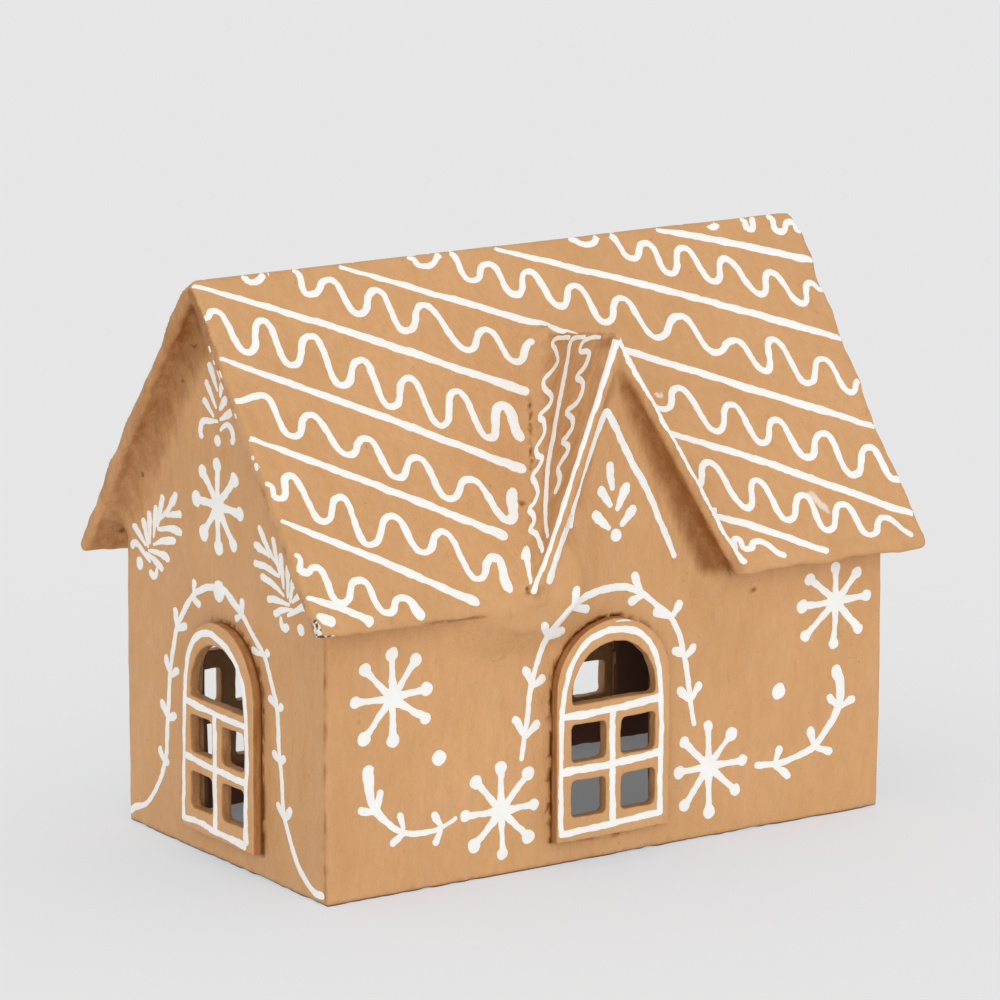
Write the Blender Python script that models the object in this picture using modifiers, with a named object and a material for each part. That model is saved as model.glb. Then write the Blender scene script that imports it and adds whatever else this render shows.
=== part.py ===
"""Hollow gingerbread-style cottage made of paper board, with a front dormer and piped white icing lines.

The cottage stands on its four walls and is open underneath.
X runs along the front wall, Y from the front to the back, Z up. The origin is under the middle of the roof.
Sizes are in millimetres, and MM turns them into Blender's metres.
"""
from math import atan2, cos, hypot, pi, radians, sin, tan

import bmesh
import bpy
from mathutils import Matrix, Vector

MM = 0.001

# Board and seams
BOARD = 4.0             # thickness of the walls and of the roof
SEAM = 0.3              # gap that neighbouring pieces keep
EDGE_ROUNDING = 1.2     # radius of the roof boards' worn edges

# Walls
WALL_LENGTH = 250.0
WALL_DEPTH = 140.0
WALL_LEFT = -WALL_LENGTH / 2
WALL_FRONT = -71.5
WALL_BACK = WALL_FRONT + WALL_DEPTH

# Main roof: its outer faces run from the eave lines up to the ridge line
ROOF_LENGTH = 273.0
ROOF_DEPTH = 170.2
EAVE_HEIGHT = 104.8
RIDGE_Y = 2.85          # the ridge lies a little behind the middle
RIDGE_HEIGHT = 220.1
ROOF_LEFT = -ROOF_LENGTH / 2
ROOF_RISE = RIDGE_HEIGHT - EAVE_HEIGHT
FRONT_RUN = RIDGE_Y + ROOF_DEPTH / 2
BACK_RUN = ROOF_DEPTH / 2 - RIDGE_Y
FRONT_PITCH = atan2(ROOF_RISE, FRONT_RUN)
BACK_PITCH = atan2(ROOF_RISE, BACK_RUN)
FRONT_SLOPE = hypot(ROOF_RISE, FRONT_RUN)
BACK_SLOPE = hypot(ROOF_RISE, BACK_RUN)

# Dormer: x from the wall's left end; its feet and ridge end lie on the main roof, up the slope from the eave
DORMER_LEFT_FOOT = (83.5, 4.9)
DORMER_RIGHT_FOOT = (176.0, 2.6)
DORMER_RIDGE_END = (129.0, 106.0)
DORMER_APEX = (123.0, 5.0, 199.0)    # x, how far it hangs in front of the wall, height
DORMER_SEAT = 3.5                    # how far the main roof reaches in under the dormer's feet
DORMER_GABLE_REACH = 75.0            # height over which the slopes of the dormer's gable are measured
DORMER_BLOCK = 400.0                 # size of the cube that a dormer board is cut from

# Windows: an arched plate with five panes, glued on the wall over a larger arched hole
WINDOW_WIDTH = 50.6
WINDOW_HEIGHT = 82.0
WINDOW_THICKNESS = 4.5
WINDOW_SILL = 9.6       # height of the plate's lower edge above the ground
WINDOW_BORDER = 6.4
MUNTIN = 6.5            # width of the bar between left and right panes
PANE_ROWS = ((8.6, 22.8), (29.8, 44.4))
ARCH_PANE = (51.6, 74.0)
PANE_CHAMFER = 1.2
HOLE_MARGIN = 4.0       # how far the plate laps over the wall hole's edge
FRONT_WINDOW = 123.4    # middles, along each wall from its left end as seen from outside
LEFT_WINDOW = 71.7
RIGHT_WINDOW = 70.0
BACK_WINDOWS = (48.5, 205.5)

# Icing
ICING = 0.7             # thickness of the icing lines
LINE = 2.2              # their usual width
STRIPE = 2.9            # width of the roof's stripes
LEAF = 2.5              # width of the small leaves on the garlands
DOT_RADIUS = 3.2
SNOWFLAKE_RADIUS = 17.0
SNOWFLAKE_ARMS = 8
SNOWFLAKE_BULB = 2.9    # radius of the round end of an arm
SNOWFLAKE_HUB = 3.4     # radius at which neighbouring arms part
WAVE_LEAN = 1.75        # how far a wave's troughs lean back
WAVE_ROUNDNESS = 1.1    # how far its crests and troughs swell
WAVE_STEPS = 6          # facets in one period of a wave
ARC_STEPS = 3           # facets in the round end of a line
ARCH_STEPS = 10         # facets in a window's arch

BOARD_COLOUR = (0.60, 0.36, 0.17)
ICING_COLOUR = (0.90, 0.89, 0.82)


# ---------------------------------------------------------------- scene, materials and solids

def clear_scene():
    for thing in list(bpy.data.objects):
        bpy.data.objects.remove(thing, do_unlink=True)


def new_collection(name):
    group = bpy.data.collections.new(name)
    bpy.context.scene.collection.children.link(group)
    return group


def new_material(name, colour, roughness):
    material = bpy.data.materials.new(name)
    material.use_nodes = True
    shader = material.node_tree.nodes["Principled BSDF"]
    shader.inputs["Base Color"].default_value = (*colour, 1.0)
    shader.inputs["Roughness"].default_value = roughness
    shader.inputs["Metallic"].default_value = 0.0
    return material


def face_frame(origin, right, up):
    """A flat face seen from outside: u runs right, v runs up and the third axis points out."""
    u = Vector(right).normalized()
    v = Vector(up).normalized()
    basis = Matrix((u, v, u.cross(v))).transposed().to_4x4()
    basis.translation = Vector(origin) * MM
    return basis


def add_mesh(name, mesh, place, material):
    solid = bpy.data.objects.new(name, mesh)
    solid.matrix_world = place
    mesh.materials.clear()
    mesh.materials.append(material)
    COTTAGE.objects.link(solid)
    return solid


def add_bevel(solid, width, segments):
    bevel = solid.modifiers.new("worn edges", "BEVEL")
    bevel.width = width * MM
    bevel.segments = segments
    bevel.limit_method = "ANGLE"
    bevel.angle_limit = radians(30)


def plate(name, loops, thickness, place, lift, material):
    """A flat board. loops holds its outline and its holes; lift is how far its outer side stands off the face."""
    curve = bpy.data.curves.new(name, "CURVE")
    curve.dimensions = "2D"
    curve.fill_mode = "BOTH"
    curve.extrude = thickness * MM / 2
    for loop in loops:
        spline = curve.splines.new("POLY")
        spline.points.add(len(loop) - 1)
        for point, (u, v) in zip(spline.points, loop):
            point.co = (u * MM, v * MM, 0, 1)
        spline.use_cyclic_u = True
    flat = bpy.data.objects.new(name + " outline", curve)
    bpy.context.scene.collection.objects.link(flat)
    bpy.context.view_layer.update()
    evaluated = flat.evaluated_get(bpy.context.evaluated_depsgraph_get())
    mesh = bpy.data.meshes.new_from_object(evaluated)
    bpy.data.objects.remove(flat, do_unlink=True)
    body = bmesh.new()
    body.from_mesh(mesh)
    bmesh.ops.remove_doubles(body, verts=body.verts, dist=0.00002)
    bmesh.ops.recalc_face_normals(body, faces=body.faces)
    body.to_mesh(mesh)
    body.free()
    mesh.name = name
    middle = Matrix.Translation((0, 0, (lift - thickness / 2) * MM))
    return add_mesh(name, mesh, place @ middle, material)


def cut_block(name, planes, size, centre, material):
    """A cube cut down to what lies behind every plane. A plane is a point on it and its outward normal."""
    body = bmesh.new()
    bmesh.ops.create_cube(body, size=size, matrix=Matrix.Translation(centre))
    for point, normal in planes:
        whole = body.verts[:] + body.edges[:] + body.faces[:]
        cut = bmesh.ops.bisect_plane(body, geom=whole, plane_co=point, plane_no=normal, clear_outer=True)
        rim = [part for part in cut["geom_cut"] if isinstance(part, bmesh.types.BMEdge)]
        bmesh.ops.edgeloop_fill(body, edges=rim)
    bmesh.ops.recalc_face_normals(body, faces=body.faces)
    mesh = bpy.data.meshes.new(name)
    body.to_mesh(mesh)
    body.free()
    return add_mesh(name, mesh, Matrix.Identity(4), material)


# ---------------------------------------------------------------- outlines

def arc(centre, radius, start, end, steps):
    """Points along an arc, with angles in radians."""
    angles = [start + (end - start) * i / steps for i in range(steps + 1)]
    return [(centre[0] + radius * cos(a), centre[1] + radius * sin(a)) for a in angles]


def arch(left, right, bottom, top):
    """A rectangle under a round arch as wide as itself."""
    radius = (right - left) / 2
    crown = arc(((left + right) / 2, top - radius), radius, 0, pi, ARCH_STEPS)
    return [(left, bottom), (right, bottom)] + crown


def chamfered_box(left, right, bottom, top, cut):
    return [(left + cut, bottom), (right - cut, bottom), (right, bottom + cut), (right, top - cut),
            (right - cut, top), (left + cut, top), (left, top - cut), (left, bottom + cut)]


def smooth(points, steps):
    """Catmull-Rom curve through the points."""
    ends = [points[0]] + list(points) + [points[-1]]
    curve = []
    for before, a, b, after in zip(ends, ends[1:], ends[2:], ends[3:]):
        for i in range(steps):
            t = i / steps
            curve.append(tuple(
                ((3 * q - p - 3 * r + s) * t ** 3 + (2 * p - 5 * q + 4 * r - s) * t ** 2 + (r - p) * t) / 2 + q
                for p, q, r, s in zip(before, a, b, after)))
    return curve + [tuple(points[-1])]


def directions(path):
    """The direction of travel at each point of a path, as an angle."""
    ahead = path[1:] + [path[-1]]
    behind = [path[0]] + path[:-1]
    return [atan2(b[1] - a[1], b[0] - a[0]) for a, b in zip(behind, ahead)]


def leaf_end(base, tip):
    """The round end of a narrow leaf that points from base to tip."""
    angle = atan2(tip[1] - base[1], tip[0] - base[0])
    return arc(tip, LEAF / 2, angle - pi / 2, angle + pi / 2, 2)


def line_outline(path, width, leaves=()):
    """The outline of a piped line with round ends. leaves holds (index on the path, tip) pairs."""
    angles = directions(path)
    half = width / 2
    right_side = []
    left_side = []
    for i, (point, angle) in enumerate(zip(path, angles)):
        sides = {"right": (point[0] + half * sin(angle), point[1] - half * cos(angle)),
                 "left": (point[0] - half * sin(angle), point[1] + half * cos(angle))}
        tips = [tip for index, tip in leaves if index == i]
        for side, outline, sign in (("right", right_side, -1), ("left", left_side, 1)):
            own = [tip for tip in tips
                   if sign * (cos(angle) * (tip[1] - point[1]) - sin(angle) * (tip[0] - point[0])) > 0]
            if not own:
                outline.append(sides[side])
                continue
            back = (sides[side][0] - half * cos(angle), sides[side][1] - half * sin(angle))
            front = (sides[side][0] + half * cos(angle), sides[side][1] + half * sin(angle))
            blade = leaf_end(point, own[0])
            outline += [back] + (blade if sign < 0 else blade[::-1]) + [front]
    finish = arc(path[-1], half, angles[-1] - pi / 2, angles[-1] + pi / 2, ARC_STEPS)[1:-1]
    start = arc(path[0], half, angles[0] + pi / 2, angles[0] + 3 * pi / 2, ARC_STEPS)[1:-1]
    return right_side + finish + left_side[::-1] + start


def snowflake_outline():
    """A star of straight arms, each ending in a round bulb."""
    outline = []
    half_arm = pi / SNOWFLAKE_ARMS
    reach = SNOWFLAKE_RADIUS - SNOWFLAKE_BULB
    for arm in range(SNOWFLAKE_ARMS):
        angle = pi / 2 + 2 * half_arm * arm
        outline.append((SNOWFLAKE_HUB * cos(angle - half_arm), SNOWFLAKE_HUB * sin(angle - half_arm)))
        middle = (reach * cos(angle), reach * sin(angle))
        outline += arc(middle, SNOWFLAKE_BULB, angle - 0.8 * pi, angle + 0.8 * pi, ARC_STEPS + 1)
    return outline


def moved(outline, u, v):
    return [(a + u, b + v) for a, b in outline]


def wave_path(first_crest, last_crest, periods, lead, tail, height):
    """A leaning S-wave from crest to crest, with lead and tail periods added at its ends."""
    du = (last_crest[0] - first_crest[0]) / periods
    dv = (last_crest[1] - first_crest[1]) / periods
    count = round((lead + periods + tail) * WAVE_STEPS)
    path = []
    for i in range(count + 1):
        t = -lead + (lead + periods + tail) * i / count
        swing = cos(2 * pi * t) - 1
        path.append((first_crest[0] + du * t + WAVE_LEAN * swing + WAVE_ROUNDNESS * sin(4 * pi * t),
                     first_crest[1] + dv * t + height / 2 * swing))
    return path


# ---------------------------------------------------------------- faces of the cottage

FRONT_FACE = face_frame((WALL_LEFT, WALL_FRONT, 0), (1, 0, 0), (0, 0, 1))
BACK_FACE = face_frame((-WALL_LEFT, WALL_BACK, 0), (-1, 0, 0), (0, 0, 1))
LEFT_FACE = face_frame((WALL_LEFT, WALL_BACK, 0), (0, -1, 0), (0, 0, 1))
RIGHT_FACE = face_frame((-WALL_LEFT, WALL_FRONT, 0), (0, 1, 0), (0, 0, 1))
FRONT_ROOF = face_frame((ROOF_LEFT, -ROOF_DEPTH / 2, EAVE_HEIGHT), (1, 0, 0),
                        (0, cos(FRONT_PITCH), sin(FRONT_PITCH)))
BACK_ROOF = face_frame((-ROOF_LEFT, ROOF_DEPTH / 2, EAVE_HEIGHT), (-1, 0, 0),
                       (0, -cos(BACK_PITCH), sin(BACK_PITCH)))
ROOF_OVERHANG = WALL_LEFT - ROOF_LEFT


def underside_height(y):
    """Height of the main roof's underside over y."""
    if y < RIDGE_Y:
        return EAVE_HEIGHT + (y + ROOF_DEPTH / 2) * tan(FRONT_PITCH) - BOARD / cos(FRONT_PITCH)
    return EAVE_HEIGHT + (ROOF_DEPTH / 2 - y) * tan(BACK_PITCH) - BOARD / cos(BACK_PITCH)


def roof_point(x, slope):
    """A point on the front roof's outer face: x from the wall's left end, slope up from the eave."""
    return Vector((WALL_LEFT + x, -ROOF_DEPTH / 2 + slope * cos(FRONT_PITCH),
                   EAVE_HEIGHT + slope * sin(FRONT_PITCH)))


APEX = Vector((WALL_LEFT + DORMER_APEX[0], WALL_FRONT - DORMER_APEX[1], DORMER_APEX[2]))
RIDGE_END = roof_point(*DORMER_RIDGE_END)
LEFT_FOOT = roof_point(*DORMER_LEFT_FOOT)
RIGHT_FOOT = roof_point(*DORMER_RIGHT_FOOT)
LEFT_NORMAL = (RIDGE_END - APEX).cross(LEFT_FOOT - APEX).normalized()
RIGHT_NORMAL = (RIGHT_FOOT - APEX).cross(RIDGE_END - APEX).normalized()

WALL_TOP = underside_height(WALL_FRONT) - 2 * SEAM


# ---------------------------------------------------------------- walls

def window_hole(middle):
    half = WINDOW_WIDTH / 2 - HOLE_MARGIN
    bottom = WINDOW_SILL + HOLE_MARGIN
    top = WINDOW_SILL + WINDOW_HEIGHT - HOLE_MARGIN
    return arch(middle - half, middle + half, bottom, top)


def dormer_edge(normal, height, pick):
    """Where the dormer's underside crosses the front wall at a height, measured from the wall's left end."""
    depths = (WALL_FRONT, WALL_FRONT + BOARD)
    return pick(APEX.x - WALL_LEFT
                - (BOARD + SEAM + normal.y * (y - APEX.y) + normal.z * (height - APEX.z)) / normal.x
                for y in depths)


def front_wall_outline():
    """The front wall carries the dormer's gable as one board."""
    low, high = WALL_TOP, WALL_TOP + DORMER_GABLE_REACH
    left_low, left_high = (dormer_edge(LEFT_NORMAL, height, max) for height in (low, high))
    right_low, right_high = (dormer_edge(RIGHT_NORMAL, height, min) for height in (low, high))
    left_lean = (left_high - left_low) / (high - low)
    right_lean = (right_high - right_low) / (high - low)
    rise = (right_low - left_low) / (left_lean - right_lean)
    return [(0, 0), (WALL_LENGTH, 0), (WALL_LENGTH, WALL_TOP), (right_low, WALL_TOP),
            (left_low + left_lean * rise, WALL_TOP + rise), (left_low, WALL_TOP), (0, WALL_TOP)]


def front_roof_outline(seat):
    """The front roof board, with the notch under the dormer; its edges follow the valleys."""
    left_foot = DORMER_LEFT_FOOT[0] + ROOF_OVERHANG + seat
    right_foot = DORMER_RIGHT_FOOT[0] + ROOF_OVERHANG - seat
    notch_top = (DORMER_RIDGE_END[0] + ROOF_OVERHANG, DORMER_RIDGE_END[1] - 2 * seat)
    return [(0, 0), (left_foot, 0), (left_foot, DORMER_LEFT_FOOT[1]), notch_top,
            (right_foot, DORMER_RIGHT_FOOT[1]), (right_foot, 0), (ROOF_LENGTH, 0),
            (ROOF_LENGTH, FRONT_SLOPE), (0, FRONT_SLOPE)]


def gable_outline(outer_y, towards):
    """A gable board between the front and back walls. towards is +1 when u runs with Y, -1 against it."""
    inset = BOARD + SEAM
    y_low, y_high = WALL_FRONT + inset, WALL_BACK - inset
    outline = [(y_low, 0), (y_high, 0), (y_high, underside_height(y_high) - 2 * SEAM),
               (RIDGE_Y, min(underside_height(RIDGE_Y - SEAM), underside_height(RIDGE_Y)) - 2 * SEAM),
               (y_low, underside_height(y_low) - 2 * SEAM)]
    return [((y - outer_y) * towards, z) for y, z in outline]


def cut_with_roof(wall):
    """Cuts the front wall where it passes the main roof's board, with a seam all round."""
    cutter = plate("roof_cutter", [front_roof_outline(DORMER_SEAT + SEAM)], BOARD + 2 * SEAM, FRONT_ROOF,
                   SEAM, wall.data.materials[0])
    COTTAGE.objects.unlink(cutter)
    CUTTERS.objects.link(cutter)
    cutter.hide_render = True
    cutter.display_type = "WIRE"
    cut = wall.modifiers.new("roof passes", "BOOLEAN")
    cut.operation = "DIFFERENCE"
    cut.solver = "EXACT"
    cut.object = cutter


def make_walls(board):
    back_top = underside_height(WALL_BACK) - 2 * SEAM
    back_outline = [(0, 0), (WALL_LENGTH, 0), (WALL_LENGTH, back_top), (0, back_top)]
    front = plate("wall_front", [front_wall_outline(), window_hole(FRONT_WINDOW)], BOARD, FRONT_FACE, 0, board)
    cut_with_roof(front)
    plate("wall_back", [back_outline] + [window_hole(middle) for middle in BACK_WINDOWS],
          BOARD, BACK_FACE, 0, board)
    plate("gable_left", [gable_outline(WALL_BACK, -1), window_hole(LEFT_WINDOW)], BOARD, LEFT_FACE, 0, board)
    plate("gable_right", [gable_outline(WALL_FRONT, 1), window_hole(RIGHT_WINDOW)],
          BOARD, RIGHT_FACE, 0, board)


# ---------------------------------------------------------------- roof

def mitre(solid, towards):
    """Cuts a roof board upright along the ridge, so that the two boards meet there."""
    body = bmesh.new()
    body.from_mesh(solid.data)
    body.transform(solid.matrix_world)
    whole = body.verts[:] + body.edges[:] + body.faces[:]
    cut = bmesh.ops.bisect_plane(body, geom=whole, plane_co=(0, (RIDGE_Y - towards * SEAM / 2) * MM, 0),
                                 plane_no=(0, towards, 0), clear_outer=True)
    rim = [part for part in cut["geom_cut"] if isinstance(part, bmesh.types.BMEdge)]
    bmesh.ops.edgeloop_fill(body, edges=rim)
    body.transform(solid.matrix_world.inverted())
    bmesh.ops.dissolve_limit(body, angle_limit=radians(0.5), verts=body.verts, edges=body.edges)
    bmesh.ops.recalc_face_normals(body, faces=body.faces)
    body.to_mesh(solid.data)
    body.free()


def make_roof(board):
    """Two boards that meet at the ridge; the front one has a notch that the dormer closes."""
    back = [(0, 0), (ROOF_LENGTH, 0), (ROOF_LENGTH, BACK_SLOPE), (0, BACK_SLOPE)]
    roof_front = plate("roof_front", [front_roof_outline(DORMER_SEAT)], BOARD, FRONT_ROOF, 0, board)
    roof_back = plate("roof_back", [back], BOARD, BACK_ROOF, 0, board)
    for solid, towards in ((roof_front, 1), (roof_back, -1)):
        mitre(solid, towards)
        add_bevel(solid, EDGE_ROUNDING, 2)


def make_dormer(board):
    """Two small boards that lean together over the front wall's gable and rest on the main roof."""
    ridge = (APEX - RIDGE_END).normalized()
    roof_normal = FRONT_ROOF.col[2].xyz
    across = ridge.cross(LEFT_NORMAL + RIGHT_NORMAL).normalized()
    if across.x > 0:
        across = -across
    centre = (APEX + RIDGE_END) / 2 * MM
    for name, normal, foot, side in (("dormer_left", LEFT_NORMAL, LEFT_FOOT, 1),
                                     ("dormer_right", RIGHT_NORMAL, RIGHT_FOOT, -1)):
        rake = (foot - APEX).cross(normal).normalized()
        if rake.y > 0:
            rake = -rake
        planes = [(APEX, normal), (APEX - normal * BOARD, -normal), (APEX, rake),
                  (RIDGE_END + roof_normal * SEAM, -roof_normal),
                  (APEX + side * across * SEAM / 2, -side * across)]
        solid = cut_block(name, [(point * MM, direction) for point, direction in planes],
                          DORMER_BLOCK * MM, centre, board)
        add_bevel(solid, EDGE_ROUNDING / 2, 1)


# ---------------------------------------------------------------- windows

def window_loops(middle):
    """The plate's outline and its panes: two rows of two, and one under the arch."""
    left = middle - WINDOW_WIDTH / 2
    right = middle + WINDOW_WIDTH / 2
    sill = WINDOW_SILL
    loops = [arch(left, right, sill, sill + WINDOW_HEIGHT)]
    for low, high in PANE_ROWS:
        for pane_left, pane_right in ((left + WINDOW_BORDER, middle - MUNTIN / 2),
                                      (middle + MUNTIN / 2, right - WINDOW_BORDER)):
            loops.append(chamfered_box(pane_left, pane_right, sill + low, sill + high, PANE_CHAMFER))
    loops.append(arch(left + WINDOW_BORDER, right - WINDOW_BORDER, sill + ARCH_PANE[0], sill + ARCH_PANE[1]))
    return loops


def window_icing_loops(middle):
    """A line round the plate and along the middle of its bars."""
    inset = WINDOW_BORDER / 2
    left = middle - WINDOW_WIDTH / 2 + inset
    right = middle + WINDOW_WIDTH / 2 - inset
    bottom = WINDOW_SILL + inset
    half = LINE / 2
    bars = [WINDOW_SILL + (PANE_ROWS[0][1] + PANE_ROWS[1][0]) / 2,
            WINDOW_SILL + (PANE_ROWS[1][1] + ARCH_PANE[0]) / 2]
    loops = [arch(left - half, right + half, bottom - half, WINDOW_SILL + WINDOW_HEIGHT - inset + half)]
    rows = [bottom] + bars
    for low, high in zip(rows, rows[1:]):
        for a, b in ((left, middle), (middle, right)):
            loops.append([(a + half, low + half), (b - half, low + half),
                          (b - half, high - half), (a + half, high - half)])
    loops.append(arch(left + half, right - half, bars[-1] + half,
                      WINDOW_SILL + WINDOW_HEIGHT - inset - half))
    return loops


def make_window(name, face, middle, board, icing):
    """A window plate on a wall, with its icing line."""
    outer = SEAM + WINDOW_THICKNESS
    plate("window_" + name, window_loops(middle), WINDOW_THICKNESS, face, outer, board)
    plate("icing_window_" + name, window_icing_loops(middle), ICING, face, outer + SEAM + ICING, icing)


# ---------------------------------------------------------------- icing

def icing_plate(name, outline, face, icing):
    plate("icing_" + name, [outline], ICING, face, SEAM + ICING, icing)


def snowflake(name, face, u, v, icing):
    icing_plate(name, moved(snowflake_outline(), u, v), face, icing)


def garland(name, face, path, leaf_tips, icing, steps=1):
    """A curved stem with pairs of small leaves: leaf_tips holds (index of the path's point, tip)."""
    leaves = [(index * steps, tip) for index, tip in leaf_tips]
    icing_plate(name, line_outline(smooth(path, steps), LINE, leaves), face, icing)


def decorate_front(icing):
    flakes = ((28, 74), (76, 25), (169.5, 28), (228, 83.5))
    for number, (u, v) in enumerate(flakes, 1):
        snowflake(f"snowflake_front_{number}", FRONT_FACE, u, v, icing)
    for number, (u, v) in enumerate(((49, 49), (202, 52)), 1):
        dot = arc((u, v), DOT_RADIUS, 0, 2 * pi, 10)[:-1]
        icing_plate(f"dot_front_{number}", dot, FRONT_FACE, icing)
    garland("garland_front", FRONT_FACE,
            [(84.5, 42), (86, 52), (89, 71), (96, 88), (108, 98), (124, 102.5), (138, 99), (151, 87),
             (158, 71), (160.5, 56), (163, 44)],
            [(1, (81.5, 58.5)), (1, (91.5, 56)), (2, (85.5, 77)), (2, (94, 72.5)), (3, (94.5, 93)),
             (3, (103, 89)), (4, (109, 105)), (4, (113, 95.5)), (6, (134, 106.5)), (6, (133, 95.5)),
             (7, (145, 90.5)), (7, (156.5, 93)), (8, (153, 75)), (8, (162, 75)), (9, (155.5, 59)),
             (9, (164.5, 60))], icing, 2)
    garland("scroll_front_1", FRONT_FACE,
            [(18, 51), (18, 41), (21, 31), (32, 23), (47, 21.5), (55, 25)],
            [(2, (14, 33.5)), (2, (23, 39)), (3, (31.5, 31)), (3, (28, 18.5)), (4, (46, 29)),
             (4, (46, 15.5))], icing, 2)
    garland("scroll_front_2", FRONT_FACE,
            [(228, 58), (231, 43), (219, 27.5), (202, 23.5), (191, 24)],
            [(1, (225, 46)), (1, (237, 44)), (2, (217, 35.5)), (2, (226, 24.5)), (3, (202, 31)),
             (3, (206, 18))], icing, 2)
    peak = [(97.5, 108), (119, 166), (123, 166), (153, 110)]
    icing_plate("peak_front", line_outline(peak, LINE), FRONT_FACE, icing)


def decorate_gable(name, face, icing):
    """The gable's icing is laid out from its upright middle line."""
    middle = WALL_BACK - RIDGE_Y if name == "left" else RIDGE_Y - WALL_FRONT
    snowflake("snowflake_" + name, face, middle, 134, icing)
    centre = WALL_DEPTH / 2
    half_garland = [(68, 3), (57, 7.5), (48.5, 19), (42.5, 31), (40.5, 46), (39.5, 58), (36, 74),
                    (30.5, 86), (22.5, 96), (12, 101.5), (0, 103)]
    side_leaves = [(3, (45.5, 37)), (3, (36.5, 33)), (4, (44.5, 52)), (4, (35.5, 50)), (5, (44, 65)),
                   (5, (34.5, 63)), (6, (40.5, 80)), (6, (30.5, 76.5)), (8, (21, 104)), (8, (17, 94.5))]
    count = 2 * len(half_garland) - 2
    path = [(centre - a, v) for a, v in half_garland] + [(centre + a, v) for a, v in half_garland[-2::-1]]
    leaves = [(i, (centre - a, v)) for i, (a, v) in side_leaves]
    leaves += [(count - i, (centre + a, v)) for i, (a, v) in side_leaves]
    garland("garland_" + name, face, path, leaves, icing)
    top_leaves = [(1, (11, 160)), (2, (10, 166)), (3, (9, 173)), (4, (7.5, 180)), (5, (5, 187))]
    top_spine = [(middle, v) for v in (162, 164.5, 167, 170.5, 175, 180, 184)]
    garland("sprig_top_" + name, face, top_spine,
            [(i, (middle + sign * a, v)) for i, (a, v) in top_leaves for sign in (-1, 1)], icing)
    outer = [(1, (61, 108.5)), (2, (57, 116)), (3, (52, 121)), (4, (46, 125.5)), (5, (40, 130.5))]
    inner = [(1, (45, 99.5)), (2, (38, 102.5)), (3, (33.5, 108)), (4, (30, 115)), (5, (27, 121.5))]
    spine = [(53, 106), (50, 108), (47, 110), (43.5, 113.5), (39.5, 118), (35.5, 123.5), (31, 131)]
    for side, sign in (("sprig_a_", -1), ("sprig_b_", 1)):
        garland(side + name, face, [(middle + sign * a, v) for a, v in spine],
                [(i, (middle + sign * a, v)) for i, (a, v) in outer + inner], icing)


ROOF_STRIPES = (((-7, 140), (112, 84)), ((-9, 111), (98, 53)), ((-9, 78.5), (79, 27)),
                ((-9, 45.5), (57, 5)), ((-9, 14.5), (11, 4.5)), ((58, 140.5), (132, 108)),
                ((165, 92), (259, 49.5)), ((128, 140.5), (259, 89.5)), ((203, 140.5), (259, 122)),
                ((172, 58), (259, 12.5)), ((180, 21), (212, 4.5)))
# first crest, last crest, periods between them, periods before and after them, height
ROOF_WAVES = (((-5, 130), (98.5, 79), 6, 0.05, 0.4, 14.0), ((1, 95.5), (91, 44), 5, 0.3, 0, 12.0),
              ((0, 62.5), (71, 20), 4, 0.3, 0.4, 12.5), ((14, 19), (27, 10), 1, 1.1, 0.2, 9.0),
              ((47, 138), (104, 110), 3, 0.6, 0.5, 12.0), ((115, 137), (247, 81), 7, 0.6, 0.45, 12.0),
              ((188, 137), (255, 113), 4, 0.5, 0, 11.0), ((179, 77), (252, 42), 4, 0.3, 0.4, 13.0),
              ((178, 45), (245, 14), 4, 0.15, 0.2, 11.5))


def decorate_roof(icing):
    """Straight stripes with waves between them. x runs from the wall's left end, v up the slope."""
    for number, (start, end) in enumerate(ROOF_STRIPES, 1):
        outline = moved(line_outline([start, end], STRIPE), ROOF_OVERHANG, 0)
        icing_plate(f"stripe_{number}", outline, FRONT_ROOF, icing)
    for number, (first, last, periods, lead, tail, height) in enumerate(ROOF_WAVES, 1):
        path = wave_path(first, last, periods, lead, tail, height)
        icing_plate(f"wave_{number}", moved(line_outline(path, LINE), ROOF_OVERHANG, 0), FRONT_ROOF, icing)


# ---------------------------------------------------------------- the cottage

clear_scene()
COTTAGE = new_collection("gingerbread_cottage")
CUTTERS = new_collection("cutters")
BOARD_MATERIAL = new_material("tan painted paper board", BOARD_COLOUR, 0.85)
ICING_MATERIAL = new_material("white icing lines", ICING_COLOUR, 0.6)

make_walls(BOARD_MATERIAL)
make_roof(BOARD_MATERIAL)
make_dormer(BOARD_MATERIAL)
make_window("front", FRONT_FACE, FRONT_WINDOW, BOARD_MATERIAL, ICING_MATERIAL)
make_window("left", LEFT_FACE, LEFT_WINDOW, BOARD_MATERIAL, ICING_MATERIAL)
make_window("right", RIGHT_FACE, RIGHT_WINDOW, BOARD_MATERIAL, ICING_MATERIAL)
for number, middle in enumerate(BACK_WINDOWS, 1):
    make_window(f"back_{number}", BACK_FACE, middle, BOARD_MATERIAL, ICING_MATERIAL)
decorate_front(ICING_MATERIAL)
decorate_gable("left", LEFT_FACE, ICING_MATERIAL)
decorate_gable("right", RIGHT_FACE, ICING_MATERIAL)
decorate_roof(ICING_MATERIAL)
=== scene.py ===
"""Gingerbread-style cottage of painted paper board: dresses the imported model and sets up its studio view.

Sizes are in millimetres in the row frame, and MM turns them into Blender's metres.
X runs along the front wall, Y from the front to the back, Z up.
"""

from math import atan2, cos, hypot, pi, radians, sin, sqrt, tan

import bmesh
import bpy
import numpy as np
from mathutils import Matrix, Vector, noise
from mathutils.bvhtree import BVHTree


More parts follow.
